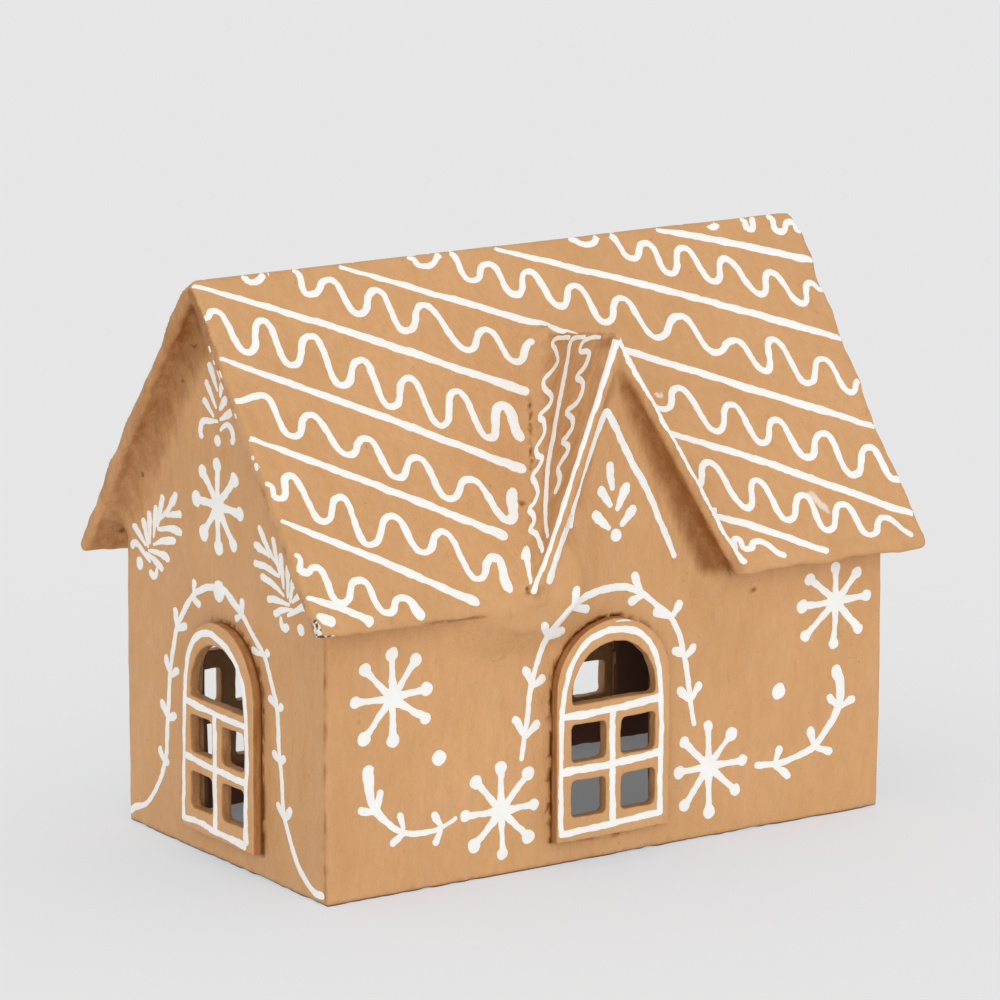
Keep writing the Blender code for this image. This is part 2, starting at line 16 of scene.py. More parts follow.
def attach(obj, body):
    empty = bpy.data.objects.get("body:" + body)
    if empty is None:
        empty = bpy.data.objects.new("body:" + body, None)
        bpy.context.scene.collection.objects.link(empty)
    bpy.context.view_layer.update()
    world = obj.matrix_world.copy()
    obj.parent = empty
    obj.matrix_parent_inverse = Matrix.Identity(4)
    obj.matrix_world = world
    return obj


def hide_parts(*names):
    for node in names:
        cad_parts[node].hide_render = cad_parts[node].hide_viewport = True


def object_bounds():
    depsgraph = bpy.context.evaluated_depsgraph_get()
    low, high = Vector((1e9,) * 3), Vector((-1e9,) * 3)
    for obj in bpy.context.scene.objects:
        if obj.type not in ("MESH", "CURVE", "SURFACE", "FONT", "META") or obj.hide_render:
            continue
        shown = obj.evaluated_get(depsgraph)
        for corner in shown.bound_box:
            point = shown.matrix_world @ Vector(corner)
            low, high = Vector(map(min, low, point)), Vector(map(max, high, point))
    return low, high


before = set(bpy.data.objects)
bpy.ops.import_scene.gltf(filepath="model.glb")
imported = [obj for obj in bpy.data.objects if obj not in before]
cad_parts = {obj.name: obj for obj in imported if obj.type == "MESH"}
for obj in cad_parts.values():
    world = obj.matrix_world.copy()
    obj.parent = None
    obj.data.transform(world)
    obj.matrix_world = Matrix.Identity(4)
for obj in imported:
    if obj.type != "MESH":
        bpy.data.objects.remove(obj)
CAD_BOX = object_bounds()
MM = 0.001

# Main lines of the cottage
WALL_LEFT, WALL_RIGHT = -125.0, 125.0
WALL_FRONT, WALL_BACK = -71.5, 68.5
ROOF_LEFT, ROOF_RIGHT = -136.5, 136.5
EAVE_FRONT, EAVE_BACK, EAVE_HEIGHT = -85.1, 85.1, 104.8
RIDGE_Y, RIDGE_HEIGHT = 2.85, 220.1
FRONT_PITCH = atan2(RIDGE_HEIGHT - EAVE_HEIGHT, RIDGE_Y - EAVE_FRONT)
BACK_PITCH = atan2(RIDGE_HEIGHT - EAVE_HEIGHT, EAVE_BACK - RIDGE_Y)
FRONT_SLOPE = hypot(RIDGE_HEIGHT - EAVE_HEIGHT, RIDGE_Y - EAVE_FRONT)
BACK_SLOPE = hypot(RIDGE_HEIGHT - EAVE_HEIGHT, EAVE_BACK - RIDGE_Y)

WALLS = ("wall_front", "wall_back", "gable_left", "gable_right")
ROOFS = ("roof_front", "roof_back", "dormer_left", "dormer_right")
WINDOWS = ("front", "left", "right", "back_1", "back_2")


def face_frame(origin, right, up):
    """A flat face seen from outside: u runs right, v runs up and the third axis points out."""
    u = Vector(right).normalized()
    v = Vector(up).normalized()
    place = Matrix((u, v, u.cross(v))).transposed().to_4x4()
    place.translation = Vector(origin)
    return place


def roof_point(x, slope):
    """A point on the front roof: x from the wall's left end, slope up from the eave."""
    return Vector((WALL_LEFT + x, EAVE_FRONT + slope * cos(FRONT_PITCH),
                   EAVE_HEIGHT + slope * sin(FRONT_PITCH)))


CAMERA_AT = Vector((-1227.0, -1815.5, 613.0))
APEX = Vector((-2.0, -76.5, 199.0))
RIDGE_END = roof_point(129.0, 106.0)
LEFT_FOOT = roof_point(83.5, 4.9)
RIGHT_FOOT = roof_point(176.0, 2.6)

FRONT = face_frame((WALL_LEFT, WALL_FRONT, 0), (1, 0, 0), (0, 0, 1))
BACK = face_frame((WALL_RIGHT, WALL_BACK, 0), (-1, 0, 0), (0, 0, 1))
LEFT = face_frame((WALL_LEFT, WALL_BACK, 0), (0, -1, 0), (0, 0, 1))
RIGHT = face_frame((WALL_RIGHT, WALL_FRONT, 0), (0, 1, 0), (0, 0, 1))
ROOF_FRONT = face_frame((WALL_LEFT, EAVE_FRONT, EAVE_HEIGHT), (1, 0, 0),
                        (0, cos(FRONT_PITCH), sin(FRONT_PITCH)))
ROOF_BACK = face_frame((WALL_RIGHT, EAVE_BACK, EAVE_HEIGHT), (-1, 0, 0),
                       (0, -cos(BACK_PITCH), sin(BACK_PITCH)))


def slope_frame(foot, side):
    """A dormer slope: the apex is its origin, u runs along the ridge, to the front on the left slope."""
    along = (APEX - RIDGE_END).normalized() * side
    out = (APEX - RIDGE_END).cross(foot - APEX).normalized()
    if out.z < 0:
        out = -out
    place = Matrix((along, out.cross(along), out)).transposed().to_4x4()
    place.translation = APEX
    return place


DORMER_LEFT = slope_frame(LEFT_FOOT, 1)
DORMER_RIGHT = slope_frame(RIGHT_FOOT, -1)


# ---------------------------------------------------------------- mesh helpers

def link(name, mesh):
    piece = bpy.data.objects.new(name, mesh)
    bpy.context.scene.collection.objects.link(piece)
    return piece


def grown(body, node, amount, lift=0.0):
    """Adds a node's closed mesh to body, with its faces moved out by amount and its top raised by lift."""
    part = bmesh.new()
    part.from_mesh(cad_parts[node].data)
    bmesh.ops.remove_doubles(part, verts=part.verts, dist=1e-6)
    bmesh.ops.recalc_face_normals(part, faces=part.faces)
    part.normal_update()
    places = [v.co + v.normal * (v.calc_shell_factor() * amount * MM) for v in part.verts]
    for v, place in zip(part.verts, places):
        v.co = place
        if lift and v.co.z > 0.1:
            v.co.z += lift * MM
    mesh = bpy.data.meshes.new("part")
    part.to_mesh(mesh)
    part.free()
    body.from_mesh(mesh)
    bpy.data.meshes.remove(mesh)


def add_hull(body, points):
    """Adds the convex hull of the points, as filler, to body."""
    part = bmesh.new()
    for point in points:
        part.verts.new(Vector(point) * MM)
    bmesh.ops.convex_hull(part, input=part.verts)
    bmesh.ops.recalc_face_normals(part, faces=part.faces)
    mesh = bpy.data.meshes.new("part")
    part.to_mesh(mesh)
    part.free()
    body.from_mesh(mesh)
    bpy.data.meshes.remove(mesh)


def remeshed(name, body, voxel):
    """Turns overlapping closed meshes into one even skin."""
    mesh = bpy.data.meshes.new(name + "_rough")
    body.to_mesh(mesh)
    body.free()
    piece = link(name, mesh)
    skin = piece.modifiers.new("skin", "REMESH")
    skin.mode = "VOXEL"
    skin.voxel_size = voxel * MM
    skin.use_smooth_shade = True
    bpy.context.view_layer.update()
    evaluated = piece.evaluated_get(bpy.context.evaluated_depsgraph_get())
    result = bpy.data.meshes.new_from_object(evaluated)
    piece.modifiers.clear()
    piece.data = result
    bpy.data.meshes.remove(mesh)
    result.name = name
    return piece


def coordinates(mesh):
    values = np.empty(len(mesh.vertices) * 3)
    mesh.vertices.foreach_get("co", values)
    return values.reshape(-1, 3) / MM


def normals(mesh):
    values = np.empty(len(mesh.vertices) * 3)
    mesh.vertex_normals.foreach_get("vector", values)
    return values.reshape(-1, 3)


def set_coordinates(mesh, values, room=0.02):
    """Writes the vertices back, all of them inside the CAD model's box by room."""
    low, high = (np.array(corner) / MM for corner in CAD_BOX)
    inside = np.clip(values, low + room, high - room)
    inside[:, 2] = np.where(values[:, 2] < 1, np.maximum(values[:, 2], 0.0), inside[:, 2])
    mesh.vertices.foreach_set("co", (inside * MM).ravel())
    mesh.update()


def relaxed(mesh, values, convex, concave, rounds):
    """Laplacian smoothing. Hollows move by the weight concave and ridges by the weight convex, 0 to 1."""
    edges = np.empty(len(mesh.edges) * 2, dtype=np.int64)
    mesh.edges.foreach_get("vertices", edges)
    a, b = edges.reshape(-1, 2).T
    size = len(values)
    count = np.bincount(a, minlength=size) + np.bincount(b, minlength=size)
    outward = normals(mesh)
    values = values.copy()
    for _ in range(rounds):
        mean = np.empty_like(values)
        for axis in range(3):
            mean[:, axis] = np.bincount(a, values[b, axis], size) + np.bincount(b, values[a, axis], size)
        step = mean / count[:, None] - values
        hollow = (step * outward).sum(axis=1) > 0
        values += step * (0.6 * np.where(hollow, concave, convex))[:, None]
    return values


def wobble(values, wavelength, seed):
    """Smooth noise from about -1 to 1 at each vertex."""
    shift = Vector((seed * 17.3, seed * 5.1, seed * 9.7))
    return np.array([noise.noise(Vector(value) / wavelength + shift) for value in values]) * 1.6


def distance_to_segment(values, start, end):
    start, end = np.array(start), np.array(end)
    along = end - start
    t = np.clip((values - start) @ along / (along @ along), 0, 1)
    return np.linalg.norm(values - start - t[:, None] * along, axis=1)


def faded(values):
    """0 below 0 and 1 above 1, with a smooth step between."""
    t = np.clip(values, 0, 1)
    return t * t * (3 - 2 * t)


def near(values, start, end, reach):
    """1 on the segment, falling smoothly to 0 at reach from it."""
    return faded(1 - distance_to_segment(values, start, end) / reach)


def float_attribute(mesh, name, values):
    layer = mesh.attributes.new(name, "FLOAT", "POINT")
    layer.data.foreach_set("value", np.asarray(values, dtype=np.float32))


# ---------------------------------------------------------------- walls, roof and windows

SHELL_VOXEL = 1.4
GROWTH = 0.5           # closes the seams between the boards


def roof_under(y):
    """Height of the main roof's underside over y."""
    if y < RIDGE_Y:
        return EAVE_HEIGHT + (y - EAVE_FRONT) * tan(FRONT_PITCH) - 4.0 / cos(FRONT_PITCH)
    return EAVE_HEIGHT + (EAVE_BACK - y) * tan(BACK_PITCH) - 4.0 / cos(BACK_PITCH)


def add_fillets(body):
    """Soft inner corners under the roof along both gables."""
    for side in (-1, 1):
        for y_low, y_high in ((WALL_FRONT, RIDGE_Y), (RIDGE_Y, WALL_BACK)):
            corner = []
            for y in (y_low, y_high):
                z = roof_under(y)
                corner += [(side * 124, y, z + 1.5), (side * 133.0, y, z + 1.0), (side * 124.5, y, z - 12.0)]
            add_hull(body, corner)


def front_swell(x, z):
    """How far the soft filler stands out of the front wall, round the dormer's foot and under its slopes."""
    point = np.array(((x, 0.0, z),))
    aside = max(0, -59 - x) / 24 if x < -42.5 else (x + 42.5) / 54
    foot = faded(1 - hypot(aside, (z - 106) / (27 if z < 106 else 34))) * 12.8
    right = near(point, (APEX.x, 0, APEX.z - 5), (RIGHT_FOOT.x, 0, RIGHT_FOOT.z - 3), 9.5)[0]
    left = near(point, (APEX.x, 0, APEX.z - 5), (LEFT_FOOT.x, 0, LEFT_FOOT.z - 3), 29.0)[0]
    slant = np.clip((APEX.z - z) / 90, 0, 1)
    return foot + max(right * (2.0 + 3.0 * slant), left * (3.6 + 0.8 * slant))


def add_valley(body):
    """A soft filler along the valley between the main roof and the dormer's left slope."""
    run = (LEFT_FOOT - RIDGE_END).normalized()
    corner = []
    for point, wide in ((RIDGE_END, 7.5), (LEFT_FOOT, 4.0)):
        for place, side, reach in ((ROOF_FRONT, -1, wide), (DORMER_LEFT, 1, 5.0)):
            out = place.col[2].xyz
            aside = run.cross(out)
            aside *= side * (1 if aside.x > 0 else -1)
            corner.append(point + aside * reach + out * (GROWTH - 0.1))
            corner.append(point - out * 2.0)
    add_hull(body, corner)


def add_front_swell(body):
    """The filler as one closed skin from just inside the front wall to the swell."""
    step = 1.5
    xs = np.arange(-104, 62, step)
    zs = np.arange(64, 194, step)
    depth = {}
    for i, x in enumerate(xs):
        for j, z in enumerate(zs):
            side = LEFT_FOOT if x < APEX.x else RIGHT_FOOT
            rake = APEX.z + (x - APEX.x) * (side.z - APEX.z) / (side.x - APEX.x)
            under_dormer = z < rake - 2.5
            if not under_dormer and (z > 116 or x > LEFT_FOOT.x):
                continue
            swell = front_swell(x, z)
            if swell < 0.05:
                continue
            y = WALL_FRONT - swell
            if not under_dormer:
                y = max(y, EAVE_FRONT + max(0, z - EAVE_HEIGHT) / tan(FRONT_PITCH) + 1.2)
            else:
                t = (APEX.z - z) / (APEX.z - side.z)
                y = max(y, APEX.y + (side.y - APEX.y) * t + 1.0)
            depth[i, j] = y
    part = bmesh.new()
    skins = [{key: part.verts.new(Vector((xs[key[0]], y, zs[key[1]])) * MM) for key, y in layer.items()}
             for layer in (depth, {key: WALL_FRONT + 1.0 for key in depth})]
    for key in depth:
        i, j = key
        ring = [key, (i + 1, j), (i + 1, j + 1), (i, j + 1)]
        if all(corner in depth for corner in ring):
            part.faces.new([skins[0][corner] for corner in ring])
            part.faces.new([skins[1][corner] for corner in reversed(ring)])
    rim = [edge for edge in part.edges if edge.is_boundary]
    opposite = {skins[0][key]: skins[1][key] for key in depth}
    for edge in rim:
        a, b = edge.verts
        if a in opposite:
            part.faces.new((b, a, opposite[a], opposite[b]))
    loose = [v for v in part.verts if not v.link_faces]
    bmesh.ops.delete(part, geom=loose, context="VERTS")
    bmesh.ops.recalc_face_normals(part, faces=part.faces)
    mesh = bpy.data.meshes.new("part")
    part.to_mesh(mesh)
    part.free()
    body.from_mesh(mesh)
    bpy.data.meshes.remove(mesh)


def rim_shift(values, outward):
    """Uneven rims: lumps along rakes and eaves, a back slope that bows out and a right rake that dips in."""
    rake = np.clip((np.abs(values[:, 0]) - 130.5) / 3.5, 0, 1)
    eave = np.clip((np.abs(values[:, 1]) - 79.0) / 3.5, 0, 1)
    rim = np.maximum(rake, eave)
    lumps = 0.75 * wobble(values, 15.0, 7) + 0.35 * wobble(values, 5.5, 8) + 0.35
    shift = outward * (lumps * rim)[:, None]
    climb = np.clip((values[:, 2] - EAVE_HEIGHT) / (RIDGE_HEIGHT - EAVE_HEIGHT), 0, 1)
    back = np.array(ROOF_BACK.col[2].xyz)
    height = (values - np.array(ROOF_BACK.translation)) @ back
    bow = (values[:, 1] > RIDGE_Y) & (height > -7)
    bow = bow * np.sin(pi * climb) ** 0.7 * np.clip((-70 - values[:, 0]) / 40, 0, 1)
    shift += back * (2.0 * bow)[:, None]
    height = (values - np.array(ROOF_FRONT.translation)) @ np.array(ROOF_FRONT.col[2].xyz)
    dip = (height > -7) * np.clip((values[:, 0] - 118) / 14, 0, 1) * (climb > 0.03)
    dip = dip * (1.1 * np.sin(pi * climb) ** 0.5 + 1.7 * np.exp(-((climb - 0.34) / 0.09) ** 2))
    shift[:, 0] -= dip
    return shift, rim


def make_shell():
    """Walls, roof and dormer as one skin with soft inner corners, lumpy rims and a slightly uneven face."""
    body = bmesh.new()
    for node in WALLS:
        grown(body, node, GROWTH, lift=1.2)
    for node in ROOFS:
        grown(body, node, GROWTH)
    add_fillets(body)
    add_front_swell(body)
    add_valley(body)
    piece = remeshed("cottage_shell", body, SHELL_VOXEL)
    mesh = piece.data
    values = coordinates(mesh) - normals(mesh) * (GROWTH - 0.15)
    even = np.full(len(values), 1.0)
    values = relaxed(mesh, values, even * 0.25, even * 0.6, 2)
    soft = even * 0.12
    for start, end, reach in ((RIDGE_END, LEFT_FOOT, 9.0), (RIDGE_END, RIGHT_FOOT, 9.0),
                              ((-64, -80, 100), (-32, -76, 100), 22.0), (APEX, LEFT_FOOT, 12.0),
                              (APEX, RIGHT_FOOT, 12.0)):
        soft = np.maximum(soft, near(values, start, end, reach))
    soft = np.where((np.abs(values[:, 0]) > 121.5) & (values[:, 2] > 92), 1.0, soft)
    tips = sum(near(values, (x, RIDGE_Y, RIDGE_HEIGHT + 1), (x, RIDGE_Y, RIDGE_HEIGHT - 1), 7.0)
               for x in (ROOF_LEFT, ROOF_RIGHT))
    swell = near(values, (-58, -78, 98), (-34, -74, 97), 22.0) * (values[:, 1] > -84) * (values[:, 2] < 102.5)
    values = relaxed(mesh, values, np.maximum(0.015, np.maximum(swell, tips)), soft, 22)
    outward = normals(mesh)
    shift, rim = rim_shift(values, outward)
    face = 0.32 * wobble(values, 55.0, 1) + 0.18 * wobble(values, 17.0, 2) + 0.06 * wobble(values, 5.0, 3)
    face += 0.35 * wobble(values, 4.5, 4) * np.clip(1 - values[:, 2] / 2.5, 0, 1)
    values += shift + outward * (face * (1 - rim))[:, None]
    values[:, 2] += 1.4 * near(values, RIDGE_END + Vector((0, 8, 0)), APEX, 7.0)
    set_coordinates(mesh, values, 0.35)
    return piece


def thinned(piece, limit):
    """Merges needless triangles on the flat stretches until the piece has no more than limit."""
    mesh = piece.data
    triangles = sum(len(polygon.vertices) - 2 for polygon in mesh.polygons)
    if triangles <= limit:
        return
    thin = piece.modifiers.new("thin", "DECIMATE")
    thin.ratio = limit / triangles
    bpy.context.view_layer.update()
    evaluated = piece.evaluated_get(bpy.context.evaluated_depsgraph_get())
    result = bpy.data.meshes.new_from_object(evaluated)
    piece.modifiers.clear()
    piece.data = result
    piece.data.name = piece.name
    bpy.data.meshes.remove(mesh)


def mark_inside(piece):
    """Gives the inside faces of the walls and roof the second, darker material."""
    mesh = piece.data
    size = len(mesh.polygons)
    centres = np.empty(size * 3)
    mesh.polygons.foreach_get("center", centres)
    centres = centres.reshape(-1, 3) / MM
    x, y, z = centres.T
    depth = np.full(size, 1e9)
    for place in (ROOF_FRONT, ROOF_BACK):
        depth = np.minimum(depth, (np.array(place.translation) - centres) @ np.array(place.col[2].xyz))
    dormer = np.full(size, 1e9)
    for place in (DORMER_LEFT, DORMER_RIGHT):
        dormer = np.minimum(dormer, (np.array(place.translation) - centres) @ np.array(place.col[2].xyz))
    inside = (np.abs(x) < 122.2) & (y > -69.2) & (y < 66.2) & ((depth > 2.2) | ((dormer > 2.2) & (y < -10)))
    mesh.materials.clear()
    mesh.materials.append(BOARD)
    mesh.materials.append(INSIDE)
    mesh.polygons.foreach_set("material_index", inside.astype(np.int32))


def local(values, place):
    """Coordinates on a face: u, v and the height over it."""
    return ((values - np.array(place.translation)) @ np.array(place.to_3x3())).T


def plate_distance(u, v, middle):
    """Distance outside the arched outline of a window plate, negative inside."""
    half, sill, spring = 25.3, 9.6, 66.3
    below = np.maximum(np.abs(u - middle) - half, sill - v)
    return np.where(v > spring, np.hypot(u - middle, v - spring) - half, below)


# Dark marks, place and reach: specks where the paint missed a hollow, a painted shadow line along the fold under the
# eave and a ragged dark line beside the dormer's valley
SPECKS = [(-125, 17.8, 191.5, 1.9), (-125, 24.7, 201, 2.1), (-125, 27, 177.2, 1.8), (-125, 56.2, 136.3, 1.7),
          (-125, 71.8, 112, 1.8), (-33.4, -61.2, 136.2, 1.8), (26.4, -71.5, 109.4, 1.15), (65.4, -71.5, 92.8, 1.2),
          (-111.5, -71.5, 67.9, 1.2)]
# painted shadow: the marks along the fold under the eave stand in for the eave lip's shadow line
FOLD = 1.3         # reach of the marks along the painted fold under the eave
SPECKS += [(-79.5 + 32 * t, -71.5, 99.6 - 0.7 * t, FOLD) for t in np.linspace(0, 1, 33)]
SPECKS += [(-37.9, -71.5, 105.5, 1.5), (-39.0, -71.5, 104.6, 1.3), (-38.2, -71.5, 107.2, 1.1)]
SPECKS += [(-13.4 - 10.9 * t, -36.6 - 16.8 * t, 168.4 - 22.1 * t, 1.05 + 0.35 * sin(19 * t)) for t in np.linspace(0, 1, 15)]


def mark_shell(piece):
    """Attributes: the darkening layer is painted shade in the inner corners, under the roof's rims, round the window
    plates and along the base, plus dark specks and lines; worn and scuff are bare spots.
    """
    values = coordinates(piece.data)
    outward = normals(piece.data)
    x, y, z = values.T
    depth = -np.array([local(values, place)[2] for place in (ROOF_FRONT, ROOF_BACK)])
    under = faded((0.5 - outward[:, 2]) / 0.3)
    # painted shade on the undersides of the main roof beyond the gables, on the gables just below them and along the
    # rakes' lower edges
    gable = under * (np.abs(x) > 122)
    shade_and_specks = gable * faded((18.5 - depth[1]) / 13.0) * np.interp(z, (104, 125, 150, 180, 196), (0.46, 0.6, 0.76, 0.82, 0.95))
    shade_and_specks[np.abs(x) > 134] *= 0.6
    front_band = gable * faded((7.5 - depth[0]) / 3.5) * faded((z - 188) / 14)
    edge_line = (np.abs(x) > 132) * faded(1 - np.abs(depth[0] - 2.6) / 1.3) * (outward[:, 2] < 0.6)
    shade_and_specks = np.maximum(shade_and_specks, np.maximum(front_band * 0.9, edge_line * 0.62))
    # painted shade under the dormer's slopes and on its gable next to them
    for foot, inward, dark in ((LEFT_FOOT, 1, 0.5), (RIGHT_FOOT, -1, 1.0)):
        t = np.clip((APEX.z - z) / (APEX.z - foot.z), 0, 1.1)
        aside = inward * (x - APEX.x - (foot.x - APEX.x) * t)
        behind = y - (APEX.y + (foot.y - APEX.y) * np.minimum(t, 1))
        band = faded((12.5 + 6.0 * t - aside) / 9.0) * faded((aside + 1.0) / 2.0)
        band *= 0.3 + 0.7 * faded((behind - 0.7) / 2.0)
        band *= faded((z - foot.z + (9 if foot is RIGHT_FOOT else -8)) / 8) * (y < -66) * under
        shade_and_specks = np.maximum(shade_and_specks, dark * band)
    # painted shade over the dormer's left slope and along its valley
    on_slope = faded(1.5 - np.abs(local(values, DORMER_LEFT)[2]) / 2) * (outward @ np.array(DORMER_LEFT.col[2].xyz) > 0.5)
    shade_and_specks = np.maximum(shade_and_specks, on_slope * (z > EAVE_HEIGHT) * 0.32)
    shade_and_specks = np.maximum(shade_and_specks, 0.66 * near(values, RIDGE_END, LEFT_FOOT, 6.0) * (outward[:, 0] < 0.3))
    # painted contact shadow: a dark line along the base of the walls
    shade_and_specks = np.maximum(shade_and_specks, 0.5 * np.clip(1 - z / 2.2, 0, 1) + 1.3 * faded(1 - z / 0.9))
    # painted shade in the gap round each window plate, with a darker line on one side
    for place, middle in WINDOW_PLACES.values():
        u, v, w = local(values, place)
        gap = plate_distance(u, v, middle)
        on_gable = place in (LEFT, RIGHT)
        facing = (u - middle) * (1 if on_gable else -1) > -5
        line = np.where(facing, 0.5 if on_gable else 1.0, 0.2)
        groove = 0.7 * faded(1 - np.abs(gap) / 2.1) + line * faded(1.5 - np.abs(gap) / 0.9)
        shade_and_specks = np.maximum(shade_and_specks, groove * (np.abs(w) < 2.0))
    corner = near(values, (-125, -70.5, 2), (-125, -70.5, 101), 1.7) * (0.62 + 0.5 * wobble(values, 5.0, 77))
    shade_and_specks = np.maximum(shade_and_specks, corner)
    scuff = near(values, ROOF_FRONT @ Vector((217.5, 26.5, 0)), ROOF_FRONT @ Vector((222, 19.5, 0)), 3.8)
    scuff = np.maximum(scuff, near(values, ROOF_FRONT @ Vector((165, 77.5, 0)), ROOF_FRONT @ Vector((168.5, 74.5, 0)), 2.4))
    for speck in SPECKS:
        *point, reach = speck
        point = Vector(point)
        sight = (point - CAMERA_AT).normalized()
        dark = 0.85 if reach == FOLD else 1.5
        shade_and_specks = np.maximum(shade_and_specks, dark * near(values, point - sight * 14, point + sight * 6, reach))
    worn = np.zeros(len(values))
    for start, end, reach in (((-136.5, -82, 109), (-135.5, -85, 101), 3.4), ((-135.5, -83, 104.2), (-129.4, -83, 104.2), 2.1)):
        worn = np.maximum(worn, near(values, start, end, reach) * 1.15)
    for name, layer in (("shade_and_specks", shade_and_specks), ("worn", worn), ("scuff", scuff)):
        float_attribute(piece.data, name, layer)


def mark_plate(piece, place, middle):
    """Painted shade on the plate's edge, deepest next to the wall, and in its panes."""
    values = coordinates(piece.data)
    u, v, w = local(values, place)
    side = faded(1.25 - np.abs(normals(piece.data) @ np.array(place.col[2].xyz)) * 1.6)
    outer = plate_distance(u, v, middle) > -3.0
    float_attribute(piece.data, "shade_and_specks", side * np.where(outer, 0.78 + 0.8 * faded(1.6 - w / 1.2), 0.5))
    for name in ("worn", "scuff"):
        float_attribute(piece.data, name, np.zeros(len(values)))


def arched(values, place, middle):
    """Moves the arch's outer rim from its straight facets out to a true curve."""
    u, v, _ = local(values, place)
    across, up = u - middle, v - 66.3
    radius, angle = np.hypot(across, up), np.arctan2(up, across)
    rim = (up > 0) & (radius > 22.5)
    steps = np.round(np.degrees(angle) / 2).astype(int)
    reach = {step: radius[rim & (steps == step)].max() for step in np.unique(steps[rim])}
    full = max(reach.values())
    grow = np.array([full - reach[step] if on_rim else 0.0 for step, on_rim in zip(steps, rim)])
    grow = (grow * faded((radius - 22.5) / 1.5))[:, None]
    sideways, upwards = (np.array(place.col[axis].xyz) for axis in (0, 1))
    return values + grow * (np.cos(angle)[:, None] * sideways + np.sin(angle)[:, None] * upwards)


def make_window(name, seed):
    body = bmesh.new()
    grown(body, "window_" + name, 0.3)
    piece = remeshed("window_plate_" + name, body, 0.7)
    mesh = piece.data
    values = coordinates(mesh) - normals(mesh) * 0.2
    even = np.full(len(values), 1.0)
    values = relaxed(mesh, values, even * 0.35, even * 0.35, 2)
    values = arched(values, *WINDOW_PLACES[name])
    outward = normals(mesh)
    shift = 0.22 * wobble(values, 14.0, seed) + 0.14 * wobble(values, 4.5, seed + 1)
    values += outward * shift[:, None]
    if name == "front":
        values[:, 0] -= 0.6
    set_coordinates(mesh, values)
    return piece


# ---------------------------------------------------------------- raised paint

def smooth(points, steps):
    """Catmull-Rom curve through the points."""
    ends = [points[0]] + list(points) + [points[-1]]
    curve = []
    for before, a, b, after in zip(ends, ends[1:], ends[2:], ends[3:]):
        for i in range(steps):
            t = i / steps
            curve.append(tuple(
                ((3 * q - p - 3 * r + s) * t ** 3 + (2 * p - 5 * q + 4 * r - s) * t ** 2 + (r - p) * t) / 2 + q
                for p, q, r, s in zip(before, a, b, after)))
    return curve + [tuple(points[-1])]


def wave(points):
    """A leaning wave through its crests and troughs: level at each, steep going down and easy going up."""
    curve = []
    for (ax, av), (bx, bv) in zip(points, points[1:]):
        reach = min(5.6, 0.8 * hypot(bx - ax, bv - av)) if bv < av else 0.5 * (bx - ax) + 1.0
        sink = -0.12 * reach
        handles = ((ax, av), (ax + reach, av + sink), (bx - reach, bv - sink), (bx, bv))
        for i in range(12):
            t = i / 12
            weights = ((1 - t) ** 3, 3 * t * (1 - t) ** 2, 3 * t * t * (1 - t), t ** 3)
            curve.append(tuple(sum(w * h[axis] for w, h in zip(weights, handles)) for axis in (0, 1)))
    return curve + [points[-1]]


PROFILE = ((-1.0, -0.6), (-0.93, 0.72), (-0.45, 0.95), (0.0, 1.0), (0.45, 0.95), (0.93, 0.72), (1.0, -0.6))
WIDER = 1.16            # the drawn widths are those of the line's flat top


